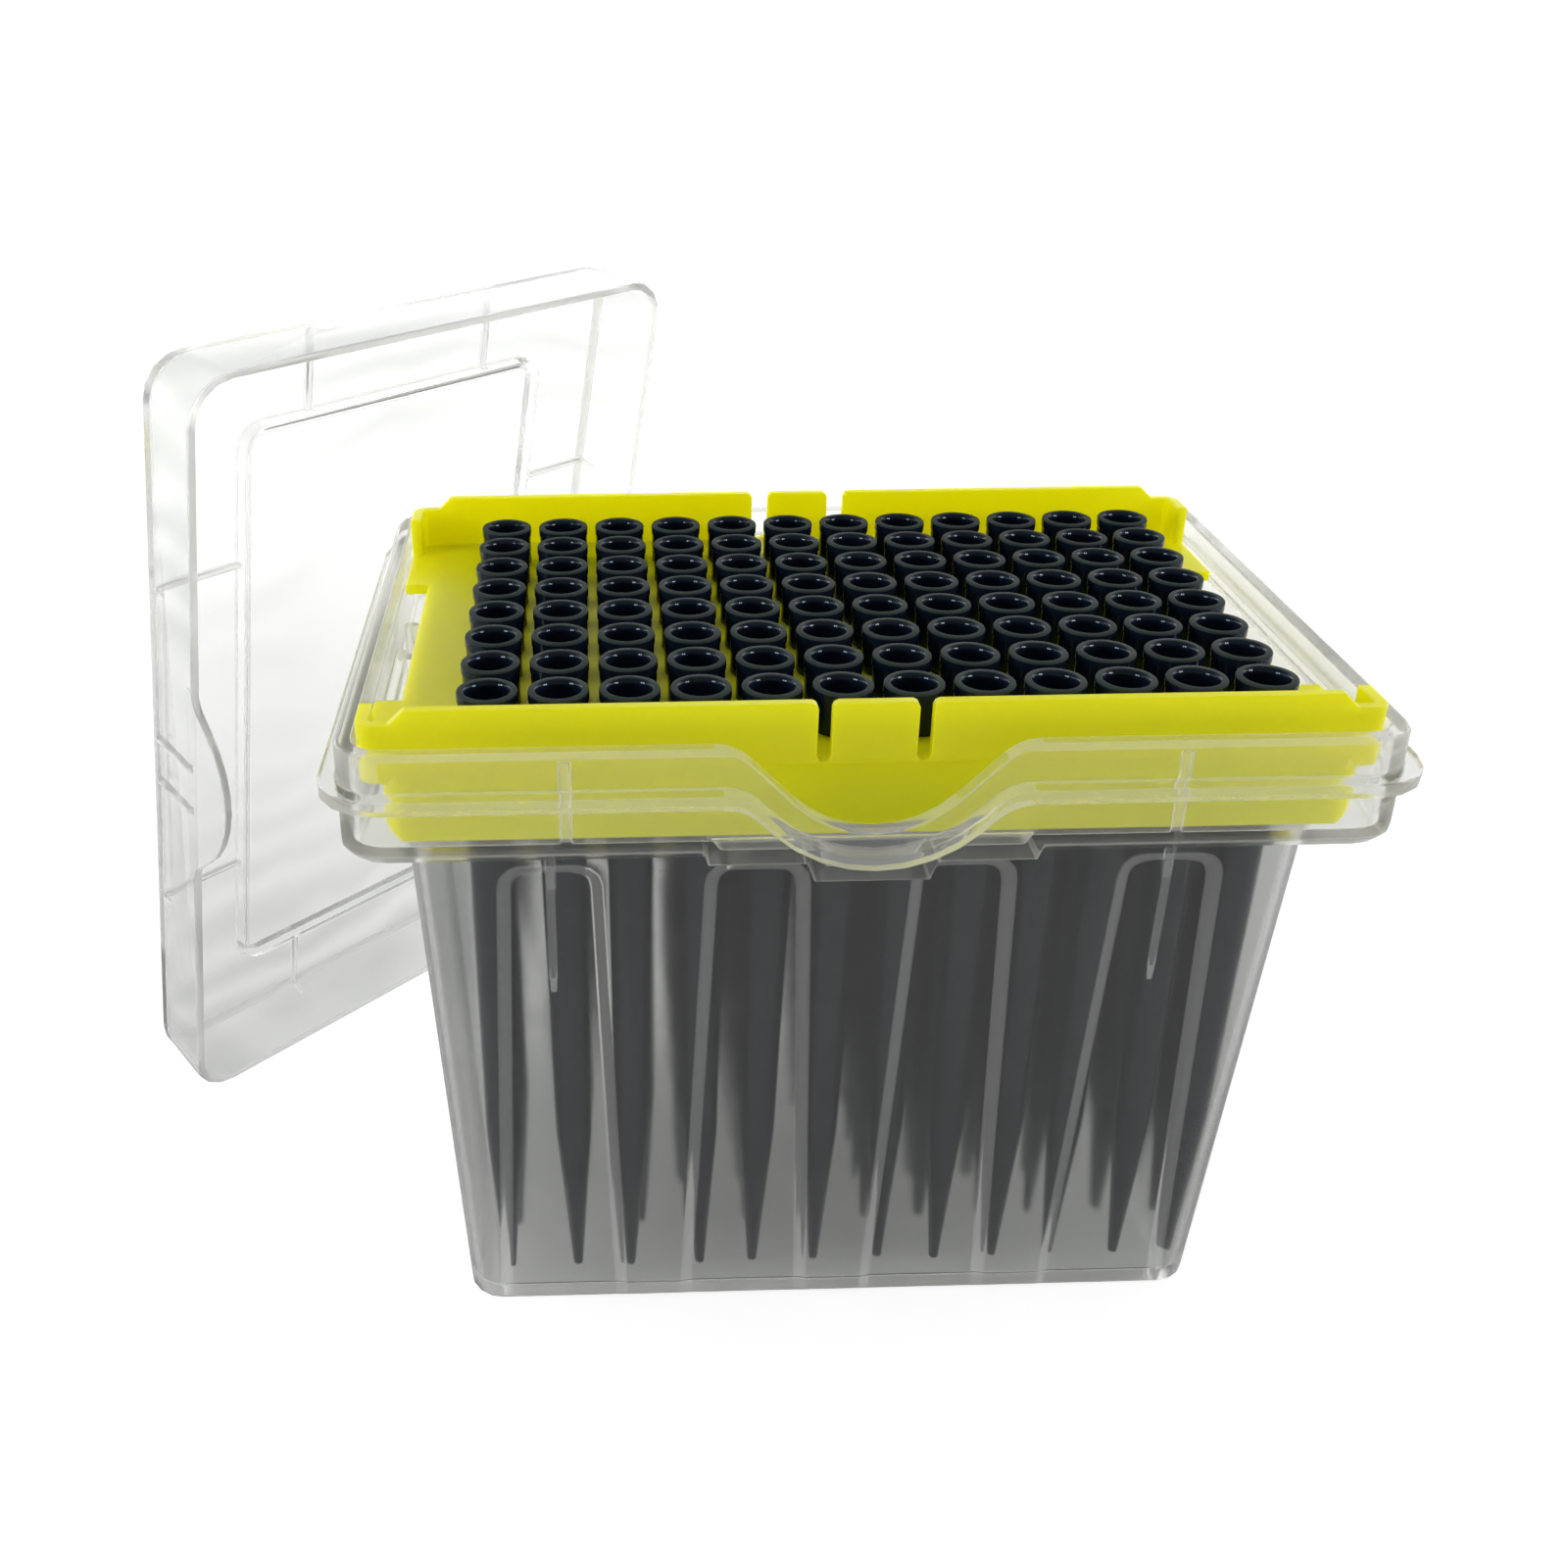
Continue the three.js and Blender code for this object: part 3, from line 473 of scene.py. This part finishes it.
def clear_to_lamps(tree, look):
    """The same look, but clear where a ray only asks whether a lamp is hidden."""
    path = add_node(tree, "ShaderNodeLightPath")
    clear = add_node(tree, "ShaderNodeBsdfTransparent")
    clear.inputs["Color"].default_value = CLEAR_SHADOW
    mix = add_node(tree, "ShaderNodeMixShader")
    factor, usual, cleared = mix.inputs
    link(tree, path.outputs["Is Shadow Ray"], factor)
    link(tree, look, usual)
    link(tree, clear.outputs[0], cleared)
    return mix.outputs[0]


def plastic(
    name,
    colours,
    roughness,
    unevenness,
    cloud_scale,
    bump,
    peel_scale=None,
    gloss=0.5,
    through=0.0,
    flow=0.0,
):
    """A moulded plastic, and its main shader.

    Without a peel scale it has no orange peel. Light passes through a clear one: the share
    given as through. The flow argument sets the share of painted reflection streaks in its colour.
    """
    material = new_material(name)
    tree = material.node_tree
    surface = add_node(tree, "ShaderNodeGroup", node_tree=moulded_surface())
    for socket, value in zip(("Colour", "Cloud Colour"), colours):
        surface.inputs[socket].default_value = (*value, 1)
    surface.inputs["Cloud Scale"].default_value = cloud_scale
    surface.inputs["Roughness"].default_value = roughness
    surface.inputs["Unevenness"].default_value = unevenness
    surface.inputs["Painted Streaks"].default_value = flow
    if peel_scale is None:
        surface.inputs["Peel"].default_value = 0.0
    else:
        surface.inputs["Peel Scale"].default_value = peel_scale
    shader = add_node(tree, "ShaderNodeBsdfPrincipled")
    link(tree, surface.outputs["Colour"], shader.inputs["Base Color"])
    link(tree, surface.outputs["Roughness"], shader.inputs["Roughness"])
    shader.inputs["Specular IOR Level"].default_value = gloss
    relief = add_node(tree, "ShaderNodeBump")
    relief.inputs["Strength"].default_value = 1.0
    relief.inputs["Distance"].default_value = bump
    link(tree, surface.outputs["Height"], relief.inputs["Height"])
    link(tree, relief.outputs["Normal"], shader.inputs["Normal"])
    look = shader.outputs[0]
    if through > 0:
        shader.inputs["Transmission Weight"].default_value = through
        shader.inputs["IOR"].default_value = CLEAR_IOR
        look = clear_to_lamps(tree, look)
    out = add_node(tree, "ShaderNodeOutputMaterial")
    link(tree, look, out.inputs["Surface"])
    return material, shader


def spread_light(shader, radius, scale):
    """Lets light spread below the surface, further for the colours with the larger radius."""
    shader.inputs["Subsurface Weight"].default_value = 1.0
    shader.inputs["Subsurface Radius"].default_value = radius
    shader.inputs["Subsurface Scale"].default_value = scale


def clear_plastic(name, colours, frost, through, flow=0.3):
    """Clear polypropylene, as smooth or as frosted as given, with painted reflection streaks at the
    flow share.
    """
    return plastic(
        name,
        colours,
        roughness=frost,
        unevenness=0.02,
        cloud_scale=25.0,
        bump=0.012 * MM,
        through=through,
        flow=flow,
    )


# ---------------------------------------------------------------- shared mesh work

WALL, EDGE = range(2)  # the finishes of a moulded piece's faces and of its edges
TO_RIM = 2  # from a finish of the base's walls to the same one of its rim


def skin_to_mesh(skin, name):
    """A mesh with the skin's shape, and without normals kept from before."""
    mesh = bpy.data.meshes.new(name)
    skin.to_mesh(mesh)
    skin.free()
    normals = mesh.attributes.get("custom_normal")
    if normals:
        mesh.attributes.remove(normals)
    return mesh


def joined(mesh, name):
    """A copy of a mesh in which each flat part is a single face."""
    skin = bmesh.new()
    skin.from_mesh(mesh)
    bmesh.ops.remove_doubles(skin, verts=skin.verts, dist=SAME_POINT)
    bmesh.ops.dissolve_limit(
        skin, angle_limit=FLAT, verts=skin.verts, edges=skin.edges, use_dissolve_boundaries=False
    )
    return skin_to_mesh(skin, name)


def copy_of(node, name):
    """A CAD node's shape as a piece of its own."""
    return in_scene(name, joined(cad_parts[node].data, name))


def shade_smooth(mesh, sharp_from):
    mesh.polygons.foreach_set("use_smooth", [True] * len(mesh.polygons))
    mesh.set_sharp_from_angle(angle=sharp_from)


def room_beside(edge, sharp):
    """The widest rounding of an edge that stays clear of its neighbours."""
    room = math.inf
    for corner in edge.verts:
        along = edge.other_vert(corner).co - corner.co
        for other in corner.link_edges:
            if other is edge or not set(other.link_faces) & set(edge.link_faces):
                continue
            away = other.other_vert(corner).co - corner.co
            turn = along.angle(away)
            if turn < GENTLE:
                reach = away.length * math.sin(turn)
                room = min(room, reach * (SHARED_ROOM if other in sharp else OWN_ROOM))
    return room


def gap_across(edge, sharp):
    """The least gap between an edge and the sharp edges that run beside it in its faces."""
    start, end = (corner.co for corner in edge.verts)
    gap = math.inf
    for other in {e for face in edge.link_faces for e in face.edges if e in sharp}:
        if set(other.verts) & set(edge.verts):
            continue
        one, two = (corner.co for corner in other.verts)
        turn = (end - start).angle(two - one)
        if min(turn, math.pi - turn) > ABREAST:
            continue
        corners = [(start, one, two), (end, one, two), (one, start, end), (two, start, end)]
        for point, first, last in corners:
            foot, along = intersect_point_line(point, first, last)
            if 0 < along < 1:
                gap = min(gap, (foot - point).length)
    return gap


def weigh_edges(mesh, radius):
    """Marks each sharp edge with the share of the radius that it has room for.

    A slim face between two sharp edges counts as an edge, and gets the edges' finish.
    """
    skin = bmesh.new()
    skin.from_mesh(mesh)
    weights = skin.edges.layers.float.new("bevel_weight_edge")
    sharp = {e for e in skin.edges if e.calc_face_angle(0) > SHARP}
    for face in skin.faces:
        outline = face.calc_perimeter()
        ridge = sum(e.calc_length() for e in face.edges if e in sharp)
        slim = 2 * face.calc_area() / outline < SLIM
        face.material_index = EDGE if slim and ridge > LEAST_RIDGE * outline else WALL
    for edge in sharp:
        room = min(room_beside(edge, sharp), SHARED_ROOM * gap_across(edge, sharp))
        weight = min(1.0, room / radius)
        edge[weights] = weight if weight > LEAST_WEIGHT else 0.0
    skin.to_mesh(mesh)
    skin.free()


def with_round_edges(piece, name, radius):
    """The piece with every sharp edge rounded."""
    weigh_edges(piece.data, radius)
    shade_smooth(piece.data, SHARP)
    bevel = piece.modifiers.new("Round Edges", "BEVEL")
    bevel.width = radius
    bevel.segments = 2
    bevel.limit_method = "WEIGHT"
    bevel.use_clamp_overlap = False
    bevel.harden_normals = True
    slims = [p.material_index for p in piece.data.polygons]
    piece.data.materials.clear()
    piece.data.materials.append(None)
    piece.data.materials.append(None)
    piece.data.polygons.foreach_set("material_index", slims)
    bevel.material = EDGE
    return plain(piece, name)


def finished(piece, nodes, slot, *finishes):
    """Gives a piece its finishes and its body, and hides the CAD nodes that it stands for.

    Each face's number picks its finish, and numbers past the last finish pick the last. The slot is
    not used.
    """
    last = len(finishes) - 1
    places = [min(p.material_index, last) for p in piece.data.polygons]
    piece.data.materials.clear()
    for finish in finishes:
        piece.data.materials.append(finish)
    piece.data.polygons.foreach_set("material_index", places)
    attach(piece, BODY)
    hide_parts(*nodes)


# ---------------------------------------------------------------- tips

GLOSSY, RIM, BARREL = range(3)  # a tip's finishes
BLUISH = (0.7, 0.86, 1.0, 1.0)  # tint of what the black plastic reflects
TIP_SHARP = math.radians(40)  # faces of a tip that meet at less than this are shaded as one


def tip_outline(tip):
    """A tip's half section: up the outside, over the lip and down the bore.

    Each point gives its radius, its height and the finish of the strip that starts there.
    """
    collar = tip.mouth - tip.lip_step
    narrow = tip.socket - tip.lead
    end = tip.full_length
    fine = 0.1 * MM  # rounding of the small edges
    soft = 0.28 * MM  # rounding of the lip
    return [
        # the flat end and the slim part above it
        (tip.orifice, -end, BARREL),
        (tip.orifice + 0.25 * MM, -end, BARREL),
        (tip.orifice + 0.33 * MM, fine - end, BARREL),
        # the shoulder, eased on both sides, and the barrel up to the collar
        (tip.shoulder - 0.12 * MM, -tip.shoulder_drop - 2 * MM, BARREL),
        (tip.shoulder, -tip.shoulder_drop, BARREL),
        (tip.shoulder + 0.04 * MM, 1.5 * MM - tip.shoulder_drop, BARREL),
        # the collar and the lip
        (tip.neck, -tip.collar, GLOSSY),
        (collar - fine, -tip.collar, GLOSSY),
        (collar, fine - tip.collar, GLOSSY),
        (collar, -tip.lip - fine, GLOSSY),
        (tip.mouth, -tip.lip, GLOSSY),
        # the matt ring round the mouth, its colour painted lighter as if lit from above
        (tip.mouth, -soft, RIM),
        (tip.mouth - 0.08 * MM, -0.08 * MM, RIM),
        (tip.mouth - soft, 0.0, RIM),
        (tip.socket + fine, 0.0, RIM),
        # the lead-in and the glossy top of the bore
        (tip.socket, -fine, GLOSSY),
        (tip.socket - 0.45 * tip.lead, -0.25 * tip.lead_depth, GLOSSY),
        (tip.socket - 0.8 * tip.lead, -0.6 * tip.lead_depth, GLOSSY),
        (narrow, -tip.lead_depth, GLOSSY),
        (narrow - 0.3 * MM, -6 * MM, GLOSSY),
        # the deep bore, down to the end
        (narrow - 0.4 * MM, -6.4 * MM, BARREL),
        (narrow - 0.6 * MM, -20 * MM, BARREL),
        (tip.shoulder - tip.wall, -tip.shoulder_drop, BARREL),
    ]


def lathe(outline, sides):
    """A closed skin turned about Z from an outline whose ends join."""
    skin = bmesh.new()
    rings = []
    for radius, height, _ in outline:
        ring = []
        for i in range(sides):
            turn = 2 * math.pi * i / sides
            ring.append(skin.verts.new((radius * math.cos(turn), radius * math.sin(turn), height)))
        rings.append(ring)
    for lower, upper in zip(rings, rings[1:] + rings[:1]):
        for i in range(sides):
            j = (i + 1) % sides
            skin.faces.new((lower[i], lower[j], upper[j], upper[i]))
    bmesh.ops.recalc_face_normals(skin, faces=skin.faces)
    return skin


def black_plastic(name, colours, roughness, gloss, bump):
    """One of the tips' finishes, in the order of their numbers."""
    made, shader = plastic(
        name,
        colours,
        roughness=roughness,
        unevenness=0.03,
        cloud_scale=260.0,
        peel_scale=2600.0,
        bump=bump,
        gloss=gloss,
    )
    shader.inputs["Specular Tint"].default_value = BLUISH
    return made


class TIPBOX_OT_tips(Operator):
    """Turn one pipette tip and stand a copy in every hole of the tray"""

    bl_idname = "tipbox.tips"
    bl_label = "Pipette Tips"

    def execute(self, context):
        tip = context.scene.tipbox_tips
        finish = context.scene.tipbox_finish
        black = (finish.black, finish.black_worn)
        rim = (finish.rim, finish.rim_worn)
        barrel = (finish.barrel, finish.barrel_worn)
        finishes = [
            black_plastic("Black Conductive Plastic", black, 0.1, gloss=0.28, bump=0.004 * MM),
            # The rim finish's lighter colours are painted light on the top of each tip.
            black_plastic("Matt Black Rim", rim, 0.55, gloss=0.1, bump=0.004 * MM),
            black_plastic("Satin Black Barrel", barrel, 0.22, gloss=0.5, bump=0.0004 * MM),
        ]
        outline = tip_outline(tip)
        mesh = skin_to_mesh(lathe(outline, tip.sides), "one_tip")
        shade_smooth(mesh, TIP_SHARP)
        tips = grown_by(
            tips_tree(),
            in_scene("one_tip", mesh),
            "pipette_tips",
            {
                "Columns": tip.columns,
                "Rows": tip.rows,
                "Pitch": tip.pitch,
                "Grid Middle": (GRID_MIDDLE.x, GRID_MIDDLE.y, TIP_HIGH.z),
                "Sideways Lean": tip.sideways,
                "Lengthwise Lean": tip.lengthwise,
                "Straight From": middle(LAST_TIP).x - tip.pitch / 2,
                "Seed": tip.seed,
                "Material": finishes[GLOSSY],
            },
        )
        for face in tips.data.polygons:
            face.material_index = outline[face.index // tip.sides % len(outline)][2]
        finished(tips, TIP_NODES, "black_plastic", *finishes)
        return {"FINISHED"}


# ---------------------------------------------------------------- tray, base and lid


class TIPBOX_OT_tray(Operator):
    """Build the yellow tray with its round holes"""

    bl_idname = "tipbox.tray"
    bl_label = "Tip Tray"

    def execute(self, context):
        tip = context.scene.tipbox_tips
        shell = context.scene.tipbox_shell
        finish = context.scene.tipbox_finish
        yellow, shader = plastic(
            "Yellow Plastic",
            (finish.yellow, finish.yellow_deep),
            roughness=0.34,
            unevenness=0.03,
            cloud_scale=30.0,
            peel_scale=1800.0,
            bump=0.012 * MM,
            gloss=0.25,
        )
        spread_light(shader, (1.0, 0.9, 0.05), 8 * MM)
        deck = TIP_HIGH.z - tip.collar
        tray = grown_by(
            holes_tree(),
            copy_of(TRAY, "tray_blank"),
            "tray_cut",
            {
                "Columns": tip.columns,
                "Rows": tip.rows,
                "Pitch": tip.pitch,
                "Grid Middle": (GRID_MIDDLE.x, GRID_MIDDLE.y, deck),
                "Radius": shell.hole,
                "Depth": shell.peg,
                "Sides": shell.hole_sides,
                "Material": yellow,
            },
        )
        tray.data = joined(tray.data, "tray_joined")
        tray = with_round_edges(tray, "tray", shell.tray_edge)
        finished(tray, [TRAY], "yellow_plastic", yellow)
        return {"FINISHED"}


class TIPBOX_OT_base(Operator):
    """Build the clear base"""

    bl_idname = "tipbox.base"
    bl_label = "Clear Base"

    def execute(self, context):
        shell = context.scene.tipbox_shell
        finish = context.scene.tipbox_finish
        tints = (finish.clear, finish.clear_cloud)
        pale = (finish.pale, finish.edge)
        frost = finish.frost
        clear, _ = clear_plastic("Frosted Clear Plastic", tints, frost, finish.clearness)
        edges, _ = clear_plastic("Frosted Clear Edge", pale, frost, finish.edge_clear)
        rim, _ = clear_plastic("Frosted Clear Rim", pale, frost, finish.rim_clear)
        rim_edges, _ = clear_plastic("Frosted Rim Edge", pale, frost, finish.rim_edge_clear)
        base = with_round_edges(copy_of(BASE, "base_blank"), "clear_base", shell.base_edge)
        above = (shell.rim_from, shell.rim_edge_from)  # for walls and for edges
        for face in base.data.polygons:
            if face.center.z < shell.foot_to:
                face.material_index = EDGE
            elif face.center.z > above[face.material_index]:
                face.material_index += TO_RIM
        finished(base, [BASE], "clear_plastic", clear, edges, rim, rim_edges)
        return {"FINISHED"}


class TIPBOX_OT_lid(Operator):
    """Build the clear lid that leans on the base"""

    bl_idname = "tipbox.lid"
    bl_label = "Clear Lid"

    def execute(self, context):
        shell = context.scene.tipbox_shell
        finish = context.scene.tipbox_finish
        tints = (finish.pale, finish.lid_painted_streaks)
        pale = (finish.pale, finish.edge)
        frost = finish.lid_frost
        # The lid's colour is all painted reflection streaks, without clouds.
        clear, _ = clear_plastic("Clear Lid Plastic", tints, frost, finish.lid_clear, flow=1.0)
        edges, shader = clear_plastic("Clear Lid Edge", pale, frost, finish.lid_edge_clear)
        spread_light(shader, (1.0, 1.0, 1.0), 3 * MM)
        lid = with_round_edges(copy_of(LID, "lid_blank"), "clear_lid", shell.lid_edge)
        finished(lid, [LID], "clear_plastic", clear, edges)
        return {"FINISHED"}


# ---------------------------------------------------------------- stage

CAMERA_PLACE = Vector((-33.85, -221.3, 186.4)) * MM
CAMERA_HEADING = math.radians(1.3)  # towards +X from +Y
CAMERA_DOWN = math.radians(26.4)
CAMERA_ROLL = math.radians(0.5)
SENSOR = 36.0  # width in millimetres, like the focal length
FOCAL = 37.97
SHIFT = (0.098, -0.024)

BEHIND = (-0.5, 0.5)  # from straight in front, -1, to straight behind, 1: where the band fades in
BAND = (0.12, 0.45)  # from the horizon, 0, to straight above, 1: where the band fades out
FLOOR_DROP = 0.2 * MM  # keeps the floor clear of the feet
LIT_POINT = Vector((0, 0, 0.1))
TOP_LAMP_PLACE = Vector((-0.2, 0.25, 1.2))
TOP_LAMP_SPREAD = math.radians(40)
WINDOW_PLACE = Vector((0.95, -0.38, 0.32))  # the middle of the window on the right
PANE_STEP = Vector((0.05, 0.09, 0))  # from a window's middle to the middle of a pane
PANE_WIDTH, PANE_HEIGHT = 0.12, 0.16


def camera_axes():
    """The camera's own axes in the scene, as the columns of a matrix."""
    flat, steep = math.cos(CAMERA_DOWN), math.sin(CAMERA_DOWN)
    ahead = Vector((math.sin(CAMERA_HEADING) * flat, math.cos(CAMERA_HEADING) * flat, -steep))
    level = Vector((math.cos(CAMERA_HEADING), -math.sin(CAMERA_HEADING), 0))
    down = ahead.cross(level)
    right = level * math.cos(CAMERA_ROLL) + down * math.sin(CAMERA_ROLL)
    up = right.cross(ahead)
    return Matrix((right, up, -ahead)).transposed()


def add_lamp(name, kind, place, **settings):
    """A lamp that points at the box."""
    data = bpy.data.lights.new(name, kind)
    for key, value in settings.items():
        setattr(data, key, value)
    lamp = in_scene(name, data)
    lamp.location = place
    lamp.rotation_euler = (LIT_POINT - place).to_track_quat("-Z", "Y").to_euler()
    return lamp


def axes_of(tree, coordinates):
    """The outputs X, Y and Z of the coordinates named."""
    axes = add_node(tree, "ShaderNodeSeparateXYZ")
    link(tree, add_node(tree, "ShaderNodeTexCoord").outputs[coordinates], axes.inputs[0])
    return axes.outputs


def light_up(tree, shader, stage):
    """Makes the floor glow: all of it to look at, and its back part for the box."""
    back = axes_of(tree, "Object")["Y"]
    far = remapped(tree, back, stage.dim_to, stage.bright_from, stage.least_glow, 1.0)
    seen = add_node(tree, "ShaderNodeLightPath").outputs["Is Camera Ray"]
    lit = arithmetic(tree, "MAXIMUM", far, seen)
    lit = arithmetic(tree, "MULTIPLY", lit, stage.glow)
    link(tree, lit, shader.inputs["Emission Strength"])
    shader.inputs["Emission Color"].default_value = (1, 1, 1, 1)


def surround(world, stage):
    """Dim light from all round and a bright band low behind; plain white where it shows."""
    world.use_nodes = True
    tree = world.node_tree
    axes = axes_of(tree, "Generated")
    behind = remapped(tree, axes["Y"], *BEHIND, 0.0, 1.0)
    low = remapped(tree, axes["Z"], *BAND, 1.0, 0.0)
    band = arithmetic(tree, "MULTIPLY", behind, low)
    band = arithmetic(tree, "MULTIPLY", band, stage.back_light)
    above = remapped(tree, axes["Z"], 0.0, 1.0, stage.low_light, stage.top_light)
    lit = arithmetic(tree, "ADD", band, above)
    seen = add_node(tree, "ShaderNodeLightPath").outputs["Is Camera Ray"]
    shine = tree.nodes["Background"]
    shine.inputs["Color"].default_value = (1, 1, 1, 1)
    link(tree, arithmetic(tree, "MAXIMUM", lit, seen), shine.inputs["Strength"])


class TIPBOX_OT_stage(Operator):
    """Set up the floor, the soft lights and the camera"""

    bl_idname = "tipbox.stage"
    bl_label = "Stage"

    def execute(self, context):
        scene = context.scene
        stage = scene.tipbox_stage
        scene.view_settings.view_transform = "Standard"

        data = bpy.data.cameras.new("camera")
        data.sensor_width = SENSOR
        data.lens = FOCAL
        data.shift_x, data.shift_y = SHIFT
        data.clip_end = 100.0
        camera = in_scene("camera", data)
        camera.matrix_world = Matrix.Translation(CAMERA_PLACE) @ camera_axes().to_4x4()
        scene.camera = camera

        floor_finish, floor_shader = plastic(
            "Floor",
            (stage.floor, stage.floor),
            roughness=0.7,
            unevenness=0.05,
            cloud_scale=4.0,
            peel_scale=300.0,
            bump=0.02 * MM,
            gloss=0.2,
        )
        light_up(floor_finish.node_tree, floor_shader, stage)
        skin = bmesh.new()
        bmesh.ops.create_grid(skin, x_segments=1, y_segments=1, size=stage.floor_size / 2)
        bmesh.ops.translate(skin, verts=skin.verts, vec=(0, 0, -FLOOR_DROP))
        floor = in_scene("floor", skin_to_mesh(skin, "floor"))
        floor.data.materials.append(floor_finish)

        scene.world = bpy.data.worlds.new("surroundings")
        surround(scene.world, stage)

        add_lamp("top_lamp", "SUN", TOP_LAMP_PLACE, energy=stage.overhead, angle=TOP_LAMP_SPREAD)
        for side, turned in (("left", Vector((-1, 1, 1))), ("right", Vector((1, 1, 1)))):
            for pane, step in (("a", -PANE_STEP), ("b", PANE_STEP)):
                lamp = add_lamp(
                    f"window_{side}_{pane}",
                    "AREA",
                    (WINDOW_PLACE + step) * turned,
                    energy=stage.windows,
                    shape="RECTANGLE",
                    size=PANE_WIDTH,
                    size_y=PANE_HEIGHT,
                )
                lamp.visible_transmission = False
                lamp.visible_camera = False
        return {"FINISHED"}


# ---------------------------------------------------------------- sidebar and running


class TIPBOX_PT_sidebar(Panel):
    """The steps that build the box, in order"""

    bl_idname = "TIPBOX_PT_sidebar"
    bl_label = "Pipette Tip Box"
    bl_space_type = "VIEW_3D"
    bl_region_type = "UI"
    bl_category = "Tip Box"

    def draw(self, context):
        for step in STEPS:
            self.layout.operator(step.bl_idname)


STEPS = (TIPBOX_OT_stage, TIPBOX_OT_base, TIPBOX_OT_tray, TIPBOX_OT_tips, TIPBOX_OT_lid)
GROUPS = {
    "tipbox_tips": TipSettings,
    "tipbox_shell": ShellSettings,
    "tipbox_finish": FinishSettings,
    "tipbox_stage": StageSettings,
}
CLASSES = (*GROUPS.values(), *STEPS, TIPBOX_PT_sidebar)


def register():
    for made in CLASSES:
        bpy.utils.register_class(made)
    for name, group in GROUPS.items():
        setattr(bpy.types.Scene, name, PointerProperty(type=group))


def unregister():
    for name in GROUPS:
        delattr(bpy.types.Scene, name)
    for made in reversed(CLASSES):
        bpy.utils.unregister_class(made)


def main():
    register()
    for step in STEPS:
        group, action = step.bl_idname.split(".")
        getattr(getattr(bpy.ops, group), action)()


if __name__ == "__main__":
    main()
